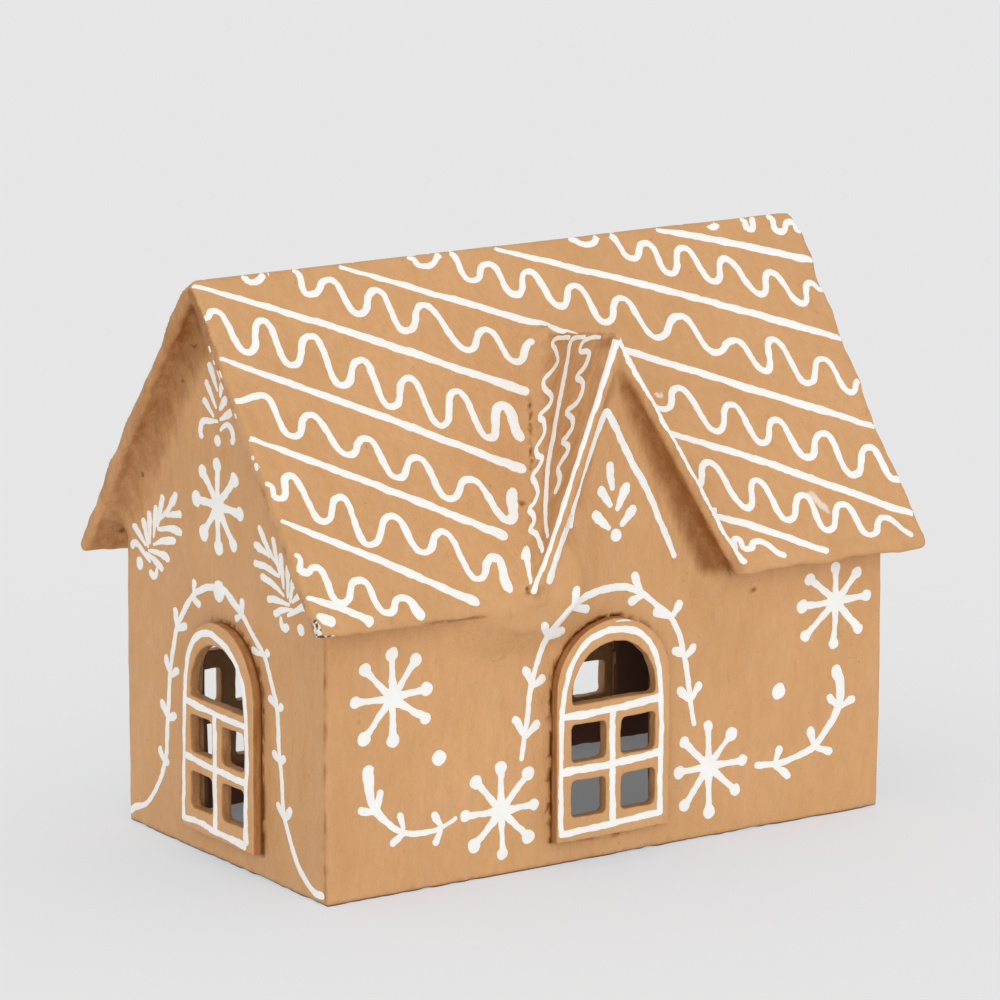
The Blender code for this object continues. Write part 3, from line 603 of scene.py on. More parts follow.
class Paint:
    """Raised white strokes laid on a surface. Each stroke is a low rounded bead that ends in the board."""

    def __init__(self, name, ground, seed, step=2.6):
        self.name = name
        self.step = step
        self.eye = None
        self.tree = BVHTree.FromObject(ground, bpy.context.evaluated_depsgraph_get())
        self.verts = []
        self.faces = []
        self.seed = seed

    def drop(self, place, u, v, lift):
        """Where the surface is met over the face's point (u, v), or None where it is not close to the face."""
        out = place.col[2].xyz
        point = place @ Vector((u, v, 0))
        along = (point - self.eye).normalized() if self.eye else -out
        lift = 20.0 if self.eye else lift
        hit, _, _, _ = self.tree.ray_cast((point - along * lift) * MM, along, 2.5 * lift * MM)
        if hit is None:
            return None
        hit = hit / MM
        return hit if -4.0 < (hit - place.translation).dot(out) < self.step else None

    def stroke(self, place, path, widths, height=0.24, lift=9.0, spacing=1.0):
        """Lays a stroke along the path. widths is one width, or several spread evenly along the stroke."""
        widths = widths if isinstance(widths, (tuple, list)) else (widths,) * 2
        self.seed += 1.37
        out = place.col[2].xyz
        points = np.array(path, dtype=float)
        steps = np.linalg.norm(np.diff(points, axis=0), axis=1)
        keep = np.concatenate([[True], steps > 1e-6])
        points, steps = points[keep], steps[steps > 1e-6]
        length = np.concatenate([[0], np.cumsum(steps)])
        total = length[-1]
        start_cap, end_cap = (min(w / 2, total / 2) for w in (widths[0], widths[-1]))
        marks = list(np.linspace(start_cap, total - end_cap, max(2, round((total - start_cap - end_cap) / spacing))))
        caps = (0.02, 0.15, 0.5)
        marks = [start_cap * c for c in caps] + marks + [total - end_cap * c for c in reversed(caps)]
        rings = []
        for mark in marks:
            u, v = (np.interp(mark, length, points[:, axis]) for axis in (0, 1))
            ahead = [np.interp(min(mark + 0.5, total), length, points[:, axis]) for axis in (0, 1)]
            behind = [np.interp(max(mark - 0.5, 0), length, points[:, axis]) for axis in (0, 1)]
            angle = atan2(ahead[1] - behind[1], ahead[0] - behind[0])
            width = WIDER * np.interp(mark / total, np.linspace(0, 1, len(widths)), widths)
            width *= 1 + 0.22 * noise.noise(Vector((mark * 0.16, self.seed, 3.1)))
            edges = [1 + 0.26 * noise.noise(Vector((mark * 0.45, self.seed, side))) for side in (5.3, 8.9)]
            shift = 0.30 * noise.noise(Vector((mark * 0.12, self.seed, 7.7)))
            cap = 1.0
            for distance, reach in ((mark, start_cap), (total - mark, end_cap)):
                if distance < reach:
                    cap = min(cap, sqrt(1 - (1 - distance / reach) ** 2))
            half = width / 2 * cap
            tall = height * min(1.2, (width / 2.6) ** 0.5) * (0.6 + 0.4 * cap)
            ring = []
            for across, up in PROFILE:
                aside = across * half * edges[across > 0] + shift
                a = u - sin(angle) * aside
                b = v + cos(angle) * aside
                ground = self.drop(place, a, b, lift)
                if ground is None:
                    ring = None
                    break
                ring.append(tuple(ground + out * (up * tall)))
            rings.append(ring)
        self.skin(rings)

    def skin(self, rings):
        run = []
        for ring in rings + [None]:
            if ring is not None:
                run.append(ring)
                continue
            if len(run) > 2:
                first = len(self.verts)
                n = len(PROFILE)
                for points in run:
                    self.verts += points
                for i in range(len(run) - 1):
                    for j in range(n):
                        k = (j + 1) % n
                        a = first + i * n
                        self.faces.append((a + j, a + n + j, a + n + k, a + k))
                self.faces.append(tuple(first + j for j in range(n)))
                last = first + (len(run) - 1) * n
                self.faces.append(tuple(last + j for j in reversed(range(n))))
            run = []

    def dot(self, place, u, v, radius, height=0.28, lift=9.0):
        """A round dab, a little out of round."""
        self.seed += 1.37
        out = place.col[2].xyz
        rings = []
        sides = 18
        for reach, up in ((0.5, 0.97), (0.92, 0.72), (1.0, -0.6)):
            ring = []
            for i in range(sides):
                angle = 2 * pi * i / sides
                away = radius * reach * (1 + 0.16 * noise.noise(Vector((cos(angle), sin(angle), self.seed))))
                a, b = u + away * cos(angle), v + away * sin(angle)
                ground = self.drop(place, a, b, lift)
                if ground is None:
                    return
                ring.append(tuple(ground + out * (up * height)))
            rings.append(ring)
        first = len(self.verts)
        for ring in rings:
            self.verts += ring
        self.faces.append(tuple(first + i for i in range(sides)))
        for level in range(2):
            for i in range(sides):
                a, b = first + level * sides + i, first + level * sides + (i + 1) % sides
                self.faces.append((a, b, b + sides, a + sides))
        self.faces.append(tuple(first + 2 * sides + i for i in reversed(range(sides))))

    def drop_shape(self, place, head, tail, width=3.4, thin=1.7):
        """A leaf-like dab: a round head that runs out to a thin tail. Points between them bend it."""
        path = smooth([head, tail] if isinstance(tail[0], (int, float)) else [head] + list(tail), 6)
        self.stroke(place, path, (width * 0.8, width * 0.95, width * 0.76, (width + thin) / 2.4, thin), 0.26, spacing=0.7)
        (u, v), (ahead_u, ahead_v) = head, path[-1]
        step = 0.28 * width / hypot(ahead_u - u, ahead_v - v)
        self.dot(place, u + (ahead_u - u) * step, v + (ahead_v - v) * step, width * 0.52, 0.27)

    def finish(self, material):
        mesh = bpy.data.meshes.new(self.name)
        mesh.from_pydata([Vector(v) * MM for v in self.verts], [], self.faces)
        mesh.update()
        body = bmesh.new()
        body.from_mesh(mesh)
        bmesh.ops.recalc_face_normals(body, faces=body.faces)
        body.to_mesh(mesh)
        body.free()
        set_coordinates(mesh, coordinates(mesh))
        mesh.shade_smooth()
        mesh.set_sharp_from_angle(angle=radians(38))
        mesh.materials.append(material)
        return link(self.name, mesh)


# ---------------------------------------------------------------- the icing pattern

# Arm tips of the snowflakes round their middles
FLAKES_FRONT = (
    ((28, 74), ((28, 91), (38.5, 87.5), (43.5, 75.5), (43, 64), (28.5, 57.5), (15.5, 60), (11.5, 74.5), (16, 86.5))),
    ((75.5, 24.5), ((75.5, 41.5), (88, 37.5), (90.5, 25), (88, 12.5), (76, 7.5), (63, 12.5), (59, 25), (64, 37.5))),
    ((169.5, 27.5), ((169, 44), (180.5, 39), (186, 27.5), (182.5, 16), (170, 9), (158, 13.5), (155, 27),
                     (157.5, 39))),
    ((228.5, 83.5), ((228, 97.5), (238.5, 94), (243.5, 84), (239.5, 71), (227.5, 66.5), (213.5, 71.5),
                     (212, 83.5), (215.5, 94))))
FLAKE_GABLE = ((66, 134.5), ((65.5, 150.5), (78.5, 147), (82.5, 134.5), (77.5, 121.5), (66.5, 118.5),
                             (55.5, 122), (50, 134.5), (54.5, 146)))


def snowflake(paint, place, centre, tips, heavy=1.0):
    """Eight arms that swell into round ends."""
    for tip in tips:
        du, dv = tip[0] - centre[0], tip[1] - centre[1]
        reach = hypot(du, dv)
        end = (tip[0] - du / reach * 0.7, tip[1] - dv / reach * 0.7)
        paint.stroke(place, [centre, end], [heavy * w for w in (4.6, 3.4, 2.7, 2.4, 2.2, 2.2, 2.6, 3.2)], 0.26,
                     spacing=0.8)
        paint.dot(place, *end, heavy * (2.6 + 0.3 * sin(du + 3 * dv)))
    paint.dot(place, *centre, 3.3)


def window_garland(paint, place, middle):
    """The twig round a window of the long walls, drawn round u = middle."""
    aside = middle - 123.4
    garland = [(84.5, 42), (85.7, 49), (87.5, 60), (89, 71), (92, 80), (96, 87.5), (103, 94), (109.5, 99),
               (117, 101.7), (124, 102.3), (131, 101.7), (138, 98.7), (145, 92.8), (151.5, 87.5), (156, 79),
               (158.5, 70), (160, 60), (161.3, 52), (163, 44)]
    paint.stroke(place, [(u + aside, v) for u, v in smooth(garland, 6)],
                 (1.9, 2.1, 2.1, 2.3, 2.6, 2.3, 2.2, 2.1, 1.9))
    for head, tail in (((81.5, 58.8), (86.2, 51)), ((92, 55.8), (86, 50.5)), ((86, 77), (89, 70)),
                       ((94.5, 72.5), (88.6, 69.5)), ((94.5, 92.7), (96.5, 86.5)), ((103, 89.3), (95.5, 86.8)),
                       ((109, 104.3), (107.5, 96.5)), ((114, 95.6), (106.5, 97)), ((134.5, 106.3), (138.5, 98.5)),
                       ((132.8, 95.6), (139.5, 98)), ((144.2, 90.7), (151.5, 87.8)), ((156, 92.8), (151.5, 87.3)),
                       ((153, 74.7), (158.5, 71.5)), ((162.5, 75), (158.3, 71)), ((155.5, 59.3), (161, 54)),
                       ((165.3, 60.2), (160.8, 54))):
        paint.drop_shape(place, (head[0] + aside, head[1]), (tail[0] + aside, tail[1]))


def front_pattern(paint, place=FRONT):
    for centre, tips in FLAKES_FRONT:
        snowflake(paint, place, centre, tips)
    paint.dot(place, 48.5, 48.5, 3.2)
    paint.dot(place, 202, 52, 3.3)
    paint.eye = CAMERA_AT
    window_garland(paint, place, 123.4)
    paint.eye = None
    paint.stroke(place, smooth([(18, 50.5), (17.8, 45), (18.8, 38), (21.5, 32.5), (26.5, 27), (32.5, 23),
                                (40, 21.3), (47, 21.5), (52, 23.3), (56, 25.3)], 6),
                 (4.6, 4.3, 3.2, 2.8, 2.5, 2.3, 2.2, 2.1, 1.9, 1.7, 1.5, 1.3))
    for head, tail in (((13.8, 34), (21.5, 32)), ((23, 40), (21.3, 32)), ((31.5, 30), (33, 23.5)),
                       ((27.7, 19.2), (34, 23)), ((46, 28), (49.5, 22)), ((46.7, 16.3), (49.5, 22))):
        paint.drop_shape(place, head, tail, 3.0)
    paint.stroke(place, smooth([(228, 58.5), (231, 50.5), (230.5, 43), (226, 35.5), (219, 28), (210, 25),
                                (202, 24), (191, 24.7)], 6), (5.0, 4.4, 3.2, 2.5, 2.4, 2.6, 2.4, 2.4, 2.4))
    for head, tail in (((225.5, 46.7), (231, 41.5)), ((237.5, 44.3), (230.5, 41.5)), ((217, 35.5), (219, 28.3)),
                       ((227, 24.8), (218.5, 28)), ((203, 30), (200.5, 24)), ((207, 18), (200, 23.5))):
        paint.drop_shape(place, head, tail, 3.2)


def back_pattern(paint, place=BACK):
    """The back is not seen in any picture: it follows the front, with a twig round each of its windows."""
    for middle in (48.5, 205.5):
        window_garland(paint, place, middle)
    for (centre, tips), (u, v) in zip(FLAKES_FRONT[:2], ((127, 79), (127, 27))):
        du, dv = u - centre[0], v - centre[1]
        snowflake(paint, place, (u, v), [(tip[0] + du, tip[1] + dv) for tip in tips])
    paint.dot(place, 106, 53, 3.2)
    paint.dot(place, 148, 53, 3.2)


def dormer_gable_pattern(paint, place=FRONT):
    peak = [(102.5, 128.5), (108.0, 145.5), (115.3, 163), (119.2, 169.5), (124.2, 164),
            (133, 149), (140, 138), (146, 125), (153, 110)]
    paint.stroke(place, smooth(peak, 6), (2.0, 2.3, 2.6, 3.4, 2.5, 2.4, 2.4, 2.2, 2.0), lift=12.0)
    paint.eye = CAMERA_AT           # straight across the soft swell by the dormer's foot
    paint.stroke(place, [(96.3, 107.3), (97.7, 111), (100.8, 119), (106.6, 132.5)], (2.5, 2.1, 1.9, 1.9))
    paint.eye = None
    paint.dot(place, 126.3, 122, 2.6)
    for head, tail in (((122.5, 149.5), (124.7, 139)), ((118.2, 140.5), (124.3, 133)),
                       ((131, 140.5), (126.5, 131)), ((115.7, 131.5), (123.7, 124.5)),
                       ((134.3, 131.5), (128.3, 125))):
        paint.drop_shape(place, head, tail, 3.9)


GABLE_HEADS_TOP = (
    ((61, 187), (67, 177.5)), ((58.5, 180), (66, 171)), ((56.8, 173), (64, 167.5)),
    ((53.8, 158.7), ((55.5, 164), (60, 165.5), (67, 166.5))),
    ((70, 181), (68.5, 175.5)), ((72.5, 176), (68, 170.5)), ((77, 172), (68, 167)),
    ((77.5, 160.5), ((76.5, 164.7), (73, 166.3), (68, 163))))
GABLE_HEADS_BACK = (
    ((3.4, 108), ((7, 109.3), (12, 107), (18, 104))), ((17.5, 99.2), ((21.5, 99.5), (22.5, 103))),
    ((6.4, 116), (14.5, 109.5)), ((12.6, 119.5), (16, 109)), ((17, 123), (17.2, 110.5)),
    ((22, 126), (19.7, 113.5)), ((27, 131), (22.5, 118)), ((36.5, 133.5), ((31, 127), (24.5, 121.5))),
    ((39.3, 126.5), ((33, 125), (29, 123.5))), ((39.5, 119.5), ((31, 119.3), (22.5, 117.5))),
    ((35, 115.5), ((27, 114), (19.5, 111))), ((30.8, 107.7), ((24, 108.5), (16, 108.3))),
    ((26.5, 103), ((20, 105.7), (14, 107))))


def gable_pattern(paint, place, mirrored):
    """u runs from the wall's left end. The right gable carries the left one's pattern turned round."""
    def turn(point):
        return (140 - point[0], point[1]) if mirrored else point

    def dab(head, tail, width):
        bend = [turn(p) for p in tail] if isinstance(tail[0], tuple) else turn(tail)
        paint.drop_shape(place, turn(head), bend, width, 1.1)

    centre, tips = FLAKE_GABLE
    snowflake(paint, place, turn(centre), [turn(tip) for tip in tips], 1.2)
    garland = [(0.8, 3), (3, 5), (9, 7.5), (13, 9.5), (19, 15), (24, 22), (27, 29), (28.5, 34), (29.5, 46),
               (30.5, 58), (32, 68), (36, 82), (42, 91), (48, 97.5), (56, 101.5), (64, 103.5), (70, 103.5),
               (77, 100), (83, 97), (90, 91.5), (99, 84.5), (103, 76), (107, 66), (108.5, 50), (110, 38),
               (111, 29), (115, 20), (120, 12), (127, 6), (133, 3.5), (138.5, 3.7)]
    paint.stroke(place, [turn(p) for p in smooth(garland, 5)],
                 (3.0, 1.9, 1.9, 2.1, 2.1, 2.1, 2.2, 2.2, 2.3, 2.4, 2.6, 2.4, 2.3, 2.2, 2.1, 2.1, 2.2, 2.2, 2.2, 2.4))
    paint.stroke(place, [turn((63, 102.8)), turn((70.5, 102.8))], 7.0, 0.6)
    for head, tail in (((28, 70), (31.7, 63.5)), ((37, 66.5), (31.5, 62.5)), ((35, 89.5), (36, 82)),
                       ((42.5, 84.5), (36, 81.5)), ((25, 52), (29.5, 46)), ((35, 48.5), (29, 45.5)),
                       ((23, 33.3), (26.5, 28.5)), ((29.5, 29.5), (25.5, 27.5)), ((49, 103), (48, 97.5)),
                       ((53, 94.6), (46, 96.3)), ((83, 102.7), (83.2, 96.5)), ((78.5, 94.5), (82.5, 96.5)),
                       ((90.3, 85.5), (97.5, 84.7)), ((101.5, 87), (98.5, 84)), ((101.5, 70), (107, 67)),
                       ((110.5, 68.5), (106.5, 66)), ((104.5, 50), (109, 47)), ((112, 49.5), (108.5, 46)),
                       ((107, 31), (111, 26)), ((116, 31), (111.5, 25))):
        dab(head, tail, 3.1)
    paint.dot(place, *turn((66.3, 159)), 2.4)
    paint.dot(place, *turn((9.5, 102)), 2.6)
    paint.dot(place, *turn((123, 99.5)), 2.4)
    for head, tail in GABLE_HEADS_TOP + GABLE_HEADS_BACK:
        dab(head, tail, 3.0)
    for head, tail in GABLE_HEADS_BACK:
        points = [(132 - u, v - 1) for u, v in ([head] + (list(tail) if isinstance(tail[0], tuple) else [tail]))]
        dab(points[0], tuple(points[1:]) if len(points) > 2 else points[1], 2.9)


WAVES = (
    ((10, 143.2), (14, 140.8), (22, 143.2)),
    ((-11.5, 128.5), (-6, 131), (1.5, 113), (12, 125), (17.5, 106), (30, 116.5), (35, 95.5), (47, 104.5),
     (52, 84.5), (64, 95), (70, 74.5), (82, 87.5), (88, 67), (98.5, 79), (103, 65.5)),
    ((-11.5, 94.5), (1, 95.5), (7, 78), (18, 85.5), (27, 68), (37, 73.5), (44, 56.5), (55, 63.5),
     (62, 45.5), (74, 52), (83, 33.5), (91, 44.5)),
    ((-11, 61), (-7, 54.5), (0, 63), (7, 43.5), (17.5, 52), (22, 32), (36, 42), (43, 26), (54, 33),
     (61, 12.5), (71, 20), (74, 7)),
    ((-10, 32), (-8, 25), (-3, 26.5), (2, 11.5), (13, 19), (19, 5), (27, 10), (34, 2)),
    ((32, 143.4), (36, 133), (46, 138), (53, 123), (64, 131.5), (70, 114), (82, 123.5), (93, 103),
     (104, 110.5), (112, 96), (122, 103)),
    ((82, 143.3), (88, 139), (100, 143.6), (106, 131), (116, 137), (122.5, 123), (132, 132), (140, 116),
     (150, 124), (157, 107.5), (168, 116.5), (177, 98.5), (191, 106), (200, 89), (211, 93), (219, 79),
     (228, 91.5), (236, 71.5), (247, 81), (254, 65.5), (259.5, 69.5)),
    ((155, 143.3), (162, 140.3), (172, 143.8), (180, 132), (188, 138), (194, 124), (204, 134), (212, 118.5),
     (221, 127.5), (231, 111), (239, 119.5), (248, 104.5), (255, 113), (260, 109.5)),
    ((218.5, 143.4), (221.5, 141.4), (225.5, 143.4)), ((235, 143.2), (238, 138.5), (242, 143.2)),
    ((247.5, 143.3), (251.5, 136.2), (257.6, 139.8), (260.5, 135)),
    ((158, 77), (168, 69), (178, 77), (187, 57), (198, 67), (205, 49.5), (215, 58.5), (222, 41.5), (234, 50),
     (240, 31.5), (252, 42), (258, 27), (260.5, 27)),
    ((161, 46), (168, 36), (178, 45.5), (187, 24.5), (196, 35.5), (203, 17.5), (214, 26.5), (219, 11),
     (230, 20.5), (237, 6.5), (246.5, 12.5), (255.5, 3.6)),
    ((173, 9), (177, 13), (180, 8.5), (186, 11), (196, 3.5)))
STRIPES = (((-10.6, 142.4), (112, 83)), ((-11, 112), (98, 52)), ((-11, 79.5), (80, 27)), ((-10.5, 46), (58, 3)),
           ((-11, 15.5), (12, 2)), ((-10, 8), (-3, 4.2)), ((52, 143), (260.5, 48.8)),
           ((121, 143), (260.5, 88)), ((195, 143), (260.5, 122)), ((150, 67), (262, 11)), ((166, 26), (215, 2.2)))


# What fills the dormer's place on the back roof
WAVES_BACK = (
    ((122, 103), (130, 86.5), (141, 96.5), (149, 74), (158, 77)),
    ((103, 65.5), (110, 75), (118, 54), (129, 63.5), (137, 42), (148, 53), (154, 39.5), (161, 46)),
    ((91, 44.5), (97, 46), (104, 27), (115, 35.5), (122, 14), (133, 23), (139, 6), (148, 12.5), (153, 3.5)),
    ((74, 7), (81, 17.5), (87, 19), (93, 5)))
STRIPES_BACK = (((112, 83), (150, 67)), ((98, 52), (166, 26)), ((80, 27), (117, 3.5)))


def roof_pattern(paint, place, mirrored):
    def turn(point):
        return (250 - point[0], point[1]) if mirrored else point

    for points in WAVES + (WAVES_BACK if mirrored else ()):
        path = [turn(p) for p in wave(points)]
        blob = points[-1] in ((103, 65.5), (91, 44.5), (74, 7), (34, 2)) and not mirrored
        ends = (2.1,) + (2.4,) * 12 + ((3.4, 4.4) if blob else (2.3,))
        paint.stroke(place, path, ends, spacing=0.9)
    for start, end in STRIPES + (STRIPES_BACK if mirrored else ()):
        if end[0] < 0:
            paint.stroke(place, [turn(start), turn(end)], (1.5, 4.6, 5.0), 0.5)
            continue
        heavy = end[0] < 120 and not mirrored
        middle = ((start[0] + end[0]) / 2 + 0.6, (start[1] + end[1]) / 2 + 0.9)
        widths = (1.5, 2.3, 2.6, 2.7, 2.8, 2.8, 2.9, 3.0, 4.2 if heavy else 2.2)
        paint.stroke(place, [turn(p) for p in smooth([start, middle, end], 12)], widths, spacing=1.6)


def rake_dabs(paint):
    """Small dabs that ran over onto the edge of the left rake."""
    down = (0, -cos(FRONT_PITCH), -sin(FRONT_PITCH))
    place = face_frame((ROOF_LEFT, EAVE_FRONT, EAVE_HEIGHT), down, (0, down[2], -down[1]))
    for slope, height, long, wide in ((117.9, -3.4, 2.6, 1.5), (112.5, -3.6, 1.8, 0.9), (107.4, -3.7, 4.0, 0.9),
                                      (107.0, -2.2, 3.0, 0.7), (90.0, -2.2, 2.0, 0.7), (72.3, -0.9, 1.8, 1.6),
                                      (68.6, -0.8, 3.0, 2.0)):
        paint.stroke(place, [(-slope - long / 2, height), (-slope + long / 2, height - 0.2)], wide, spacing=0.5)


def dormer_pattern(paint, place, side):
    """u runs along the ridge, away from the apex for side -1 on the left slope, v down the slope."""
    lines = (
        ([(-36, -1.7), (-46, -1.9), (-49, -4), (-44, -7), (-40.5, -11), (-43, -15), (-47, -18.5), (-43, -22),
          (-37, -24.5), (-37, -28), (-42, -32), (-37.5, -34.5), (-34.5, -39), (-37.5, -44.5), (-34.5, -47.5),
          (-30.5, -48.5), (-31.5, -52), (-34, -55.5), (-29, -59), (-26, -62), (-27, -66), (-29.5, -68),
          (-25, -70), (-22.5, -73), (-24.5, -75.5), (-18, -77.5), (-13, -81), (-9, -84)], (1.6, 2.2, 2.2, 2.0)),
        ([(-24, -1.7), (-32, -1.9), (-34.5, -4), (-33, -10), (-31.5, -18), (-29.5, -28), (-27, -40), (-24, -52),
          (-19, -63), (-14, -72), (-8.5, -78.5)], (1.4, 2.4, 2.6, 2.6, 1.6)),
        ([(-12, -1.7), (-20, -1.9), (-25, -3.6), (-25, -7), (-19, -7), (-17, -9), (-18, -13), (-22, -17),
          (-17, -18.5), (-14.5, -22), (-16, -27), (-22, -30.5), (-16, -33), (-14, -36), (-16, -39.5),
          (-18.5, -42), (-13, -43.5), (-12.5, -46), (-16, -52), (-13, -55), (-12, -58), (-13, -62)],
         (1.2, 2.2, 2.2, 2.2, 2.4)),
        ([(-25, -83.6), (-20.6, -85.8), (-17, -90), (-13.5, -93.5), (-11, -96)], (5.2, 3.6, 2.5, 2.0, 1.6)))
    # the strokes by the valley are laid from the front, so that they keep their shape across it
    paint.eye = CAMERA_AT if side > 0 else None
    for points, widths in lines:
        path = [(u if side > 0 else -u, v) for u, v in smooth(points, 5)]
        paint.stroke(place, path, widths, lift=20.0, spacing=0.8)
    paint.eye = None


def rake_line(paint, foot, slope, inset, widths):
    """A line on the edge between a dormer slope and its front edge, from the apex to the foot."""
    face = slope.col[2].xyz
    run = (foot - APEX).normalized()
    front = run.cross(face)
    if front.y > 0:
        front = -front
    out = (face * (1 - inset) + front * inset).normalized()
    across = out.cross(run)
    place = Matrix((run, across, out)).transposed().to_4x4()
    place.translation = APEX
    reach = (foot - APEX).length + (1.6 if foot is LEFT_FOOT else 0.0)
    path = [(reach * i / 12, 0) for i in range(13)]
    paint.stroke(place, path, widths, 0.3, lift=6.0, spacing=1.2)


WINDOW_PLACES = {"front": (FRONT, 123.4), "left": (LEFT, 71.7), "right": (RIGHT, 70.0),
                 "back_1": (BACK, 48.5), "back_2": (BACK, 205.5)}


# The white lines of a window: (points round the plate's middle, widths)
LINES_FRONT = (
    (((-24.1, 11.6), (-24.2, 20), (-24.3, 35), (-24.2, 50), (-23.8, 60), (-22.7, 68), (-20.6, 75), (-17.6, 80.3),
      (-12.8, 84.8), (-7.4, 87), (-1.4, 87.8), (5.1, 87), (11.2, 84.7), (15.6, 80), (18.1, 75), (19.6, 69),
      (20.5, 62), (20.8, 50), (20.7, 35), (20.7, 13.5)), (2.3, 1.8, 1.8, 1.9, 2.0, 2.5, 2.2, 1.9, 2.0, 2.1, 2.5)),
    (((-24.1, 12.8), (-3.4, 13.6), (20.7, 14.6)), (2.5, 2.2, 2.3)),
    (((-24.6, 36.3), (-1.4, 36.7), (20.8, 38.1)), (2.8, 2.5, 2.8)),
    (((-24.3, 57.3), (-1.4, 57.7), (20.7, 59)), (2.7, 2.4, 3.0)),
    (((-1.2, 13.8), (-1.4, 36), (-1.4, 58)), (2.6, 2.2, 2.5)),
    (((-0.4, 90.7), (3, 90.6), (6.4, 90.0)), (0.3, 0.6, 0.3)))
LINES_LEFT = (
    (((-23.6, 11.9), (-23.2, 20), (-23, 35), (-22.9, 50), (-21.9, 60), (-21.2, 70), (-17.4, 80), (-12.2, 85),
      (-4.7, 87.4), (2.3, 86.3), (9.3, 83.6), (14.3, 79.5), (17.3, 75), (19.5, 70), (20.9, 60), (21.4, 45),
      (20.8, 30), (20.7, 12.2)), (2.2, 1.9, 1.9, 1.9, 2.4, 2.6, 2.2, 2.0, 2.0, 2.3, 3.2)),
    (((-23.5, 12.9), (-10.7, 13.6), (-1.7, 12.6), (11.3, 12.2), (20.5, 11.7)), (2.3, 2.1, 2.2, 2.4, 2.9)),
    (((-23, 37.5), (-3.7, 36.5), (21, 36)), (2.3, 2.3, 2.6)),
    (((-22.5, 58.6), (-3.7, 57.7), (21, 57.2)), (2.7, 2.0, 2.2)),
    (((-1.1, 13), (-0.8, 36), (-0.6, 58)), (2.4, 2.2, 2.3)))


def window_pattern(paint, place, middle):
    """A line round the arched plate and lines along its bars. The back windows copy the front one."""
    for points, widths in LINES_LEFT if place in (LEFT, RIGHT) else LINES_FRONT:
        path = [(middle + (u + 0.9 if place is BACK and u < -15 else u), v) for u, v in smooth(points, 5)]
        paint.stroke(place, path, widths, lift=12.0)


# ---------------------------------------------------------------- materials

class Shader:
    """Builds one Principled material from nodes in object coordinates."""

    def __init__(self, name):
        self.material = bpy.data.materials.new(name)
        self.material.use_nodes = True
        self.tree = self.material.node_tree
        self.principled = self.tree.nodes["Principled BSDF"]
        self.place = self.new("ShaderNodeTexCoord").outputs["Object"]

    def new(self, kind, **values):
        node = self.tree.nodes.new(kind)
        for key, value in values.items():
            setattr(node, key, value)
        return node

    def set(self, node, socket, value):
        if isinstance(value, bpy.types.NodeSocket):
            self.tree.links.new(value, node.inputs[socket])
        else:
            node.inputs[socket].default_value = value

    def noise(self, scale, detail=2.0, rough=0.5, stretch=None):
        where = self.place
        if stretch:
            mapping = self.new("ShaderNodeMapping")
            self.set(mapping, "Vector", where)
            mapping.inputs["Scale"].default_value = stretch
            where = mapping.outputs[0]
        node = self.new("ShaderNodeTexNoise")
        self.set(node, "Vector", where)
        self.set(node, "Scale", scale)
        self.set(node, "Detail", detail)
        self.set(node, "Roughness", rough)
        return node.outputs[0]

    def ramp(self, value, low, high):
        node = self.new("ShaderNodeMapRange")
        self.set(node, "Value", value)
        self.set(node, "From Min", low)
        self.set(node, "From Max", high)
        return node.outputs[0]

    def mix(self, factor, a, b):
        node = self.new("ShaderNodeMix", data_type="RGBA")
        self.set(node, "Factor", factor)
        for socket, value in (("A", a), ("B", b)):
            self.set(node, 6 if socket == "A" else 7, value)
        return node.outputs[2]

    def math(self, operation, a, b=0.0):
        node = self.new("ShaderNodeMath", operation=operation)
        self.set(node, 0, a)
        self.set(node, 1, b)
        return node.outputs[0]

    def bump(self, height, distance, strength, normal=None):
        node = self.new("ShaderNodeBump")
        self.set(node, "Height", height)
        self.set(node, "Distance", distance)
        self.set(node, "Strength", strength)
        if normal:
            self.set(node, "Normal", normal)
        return node.outputs[0]


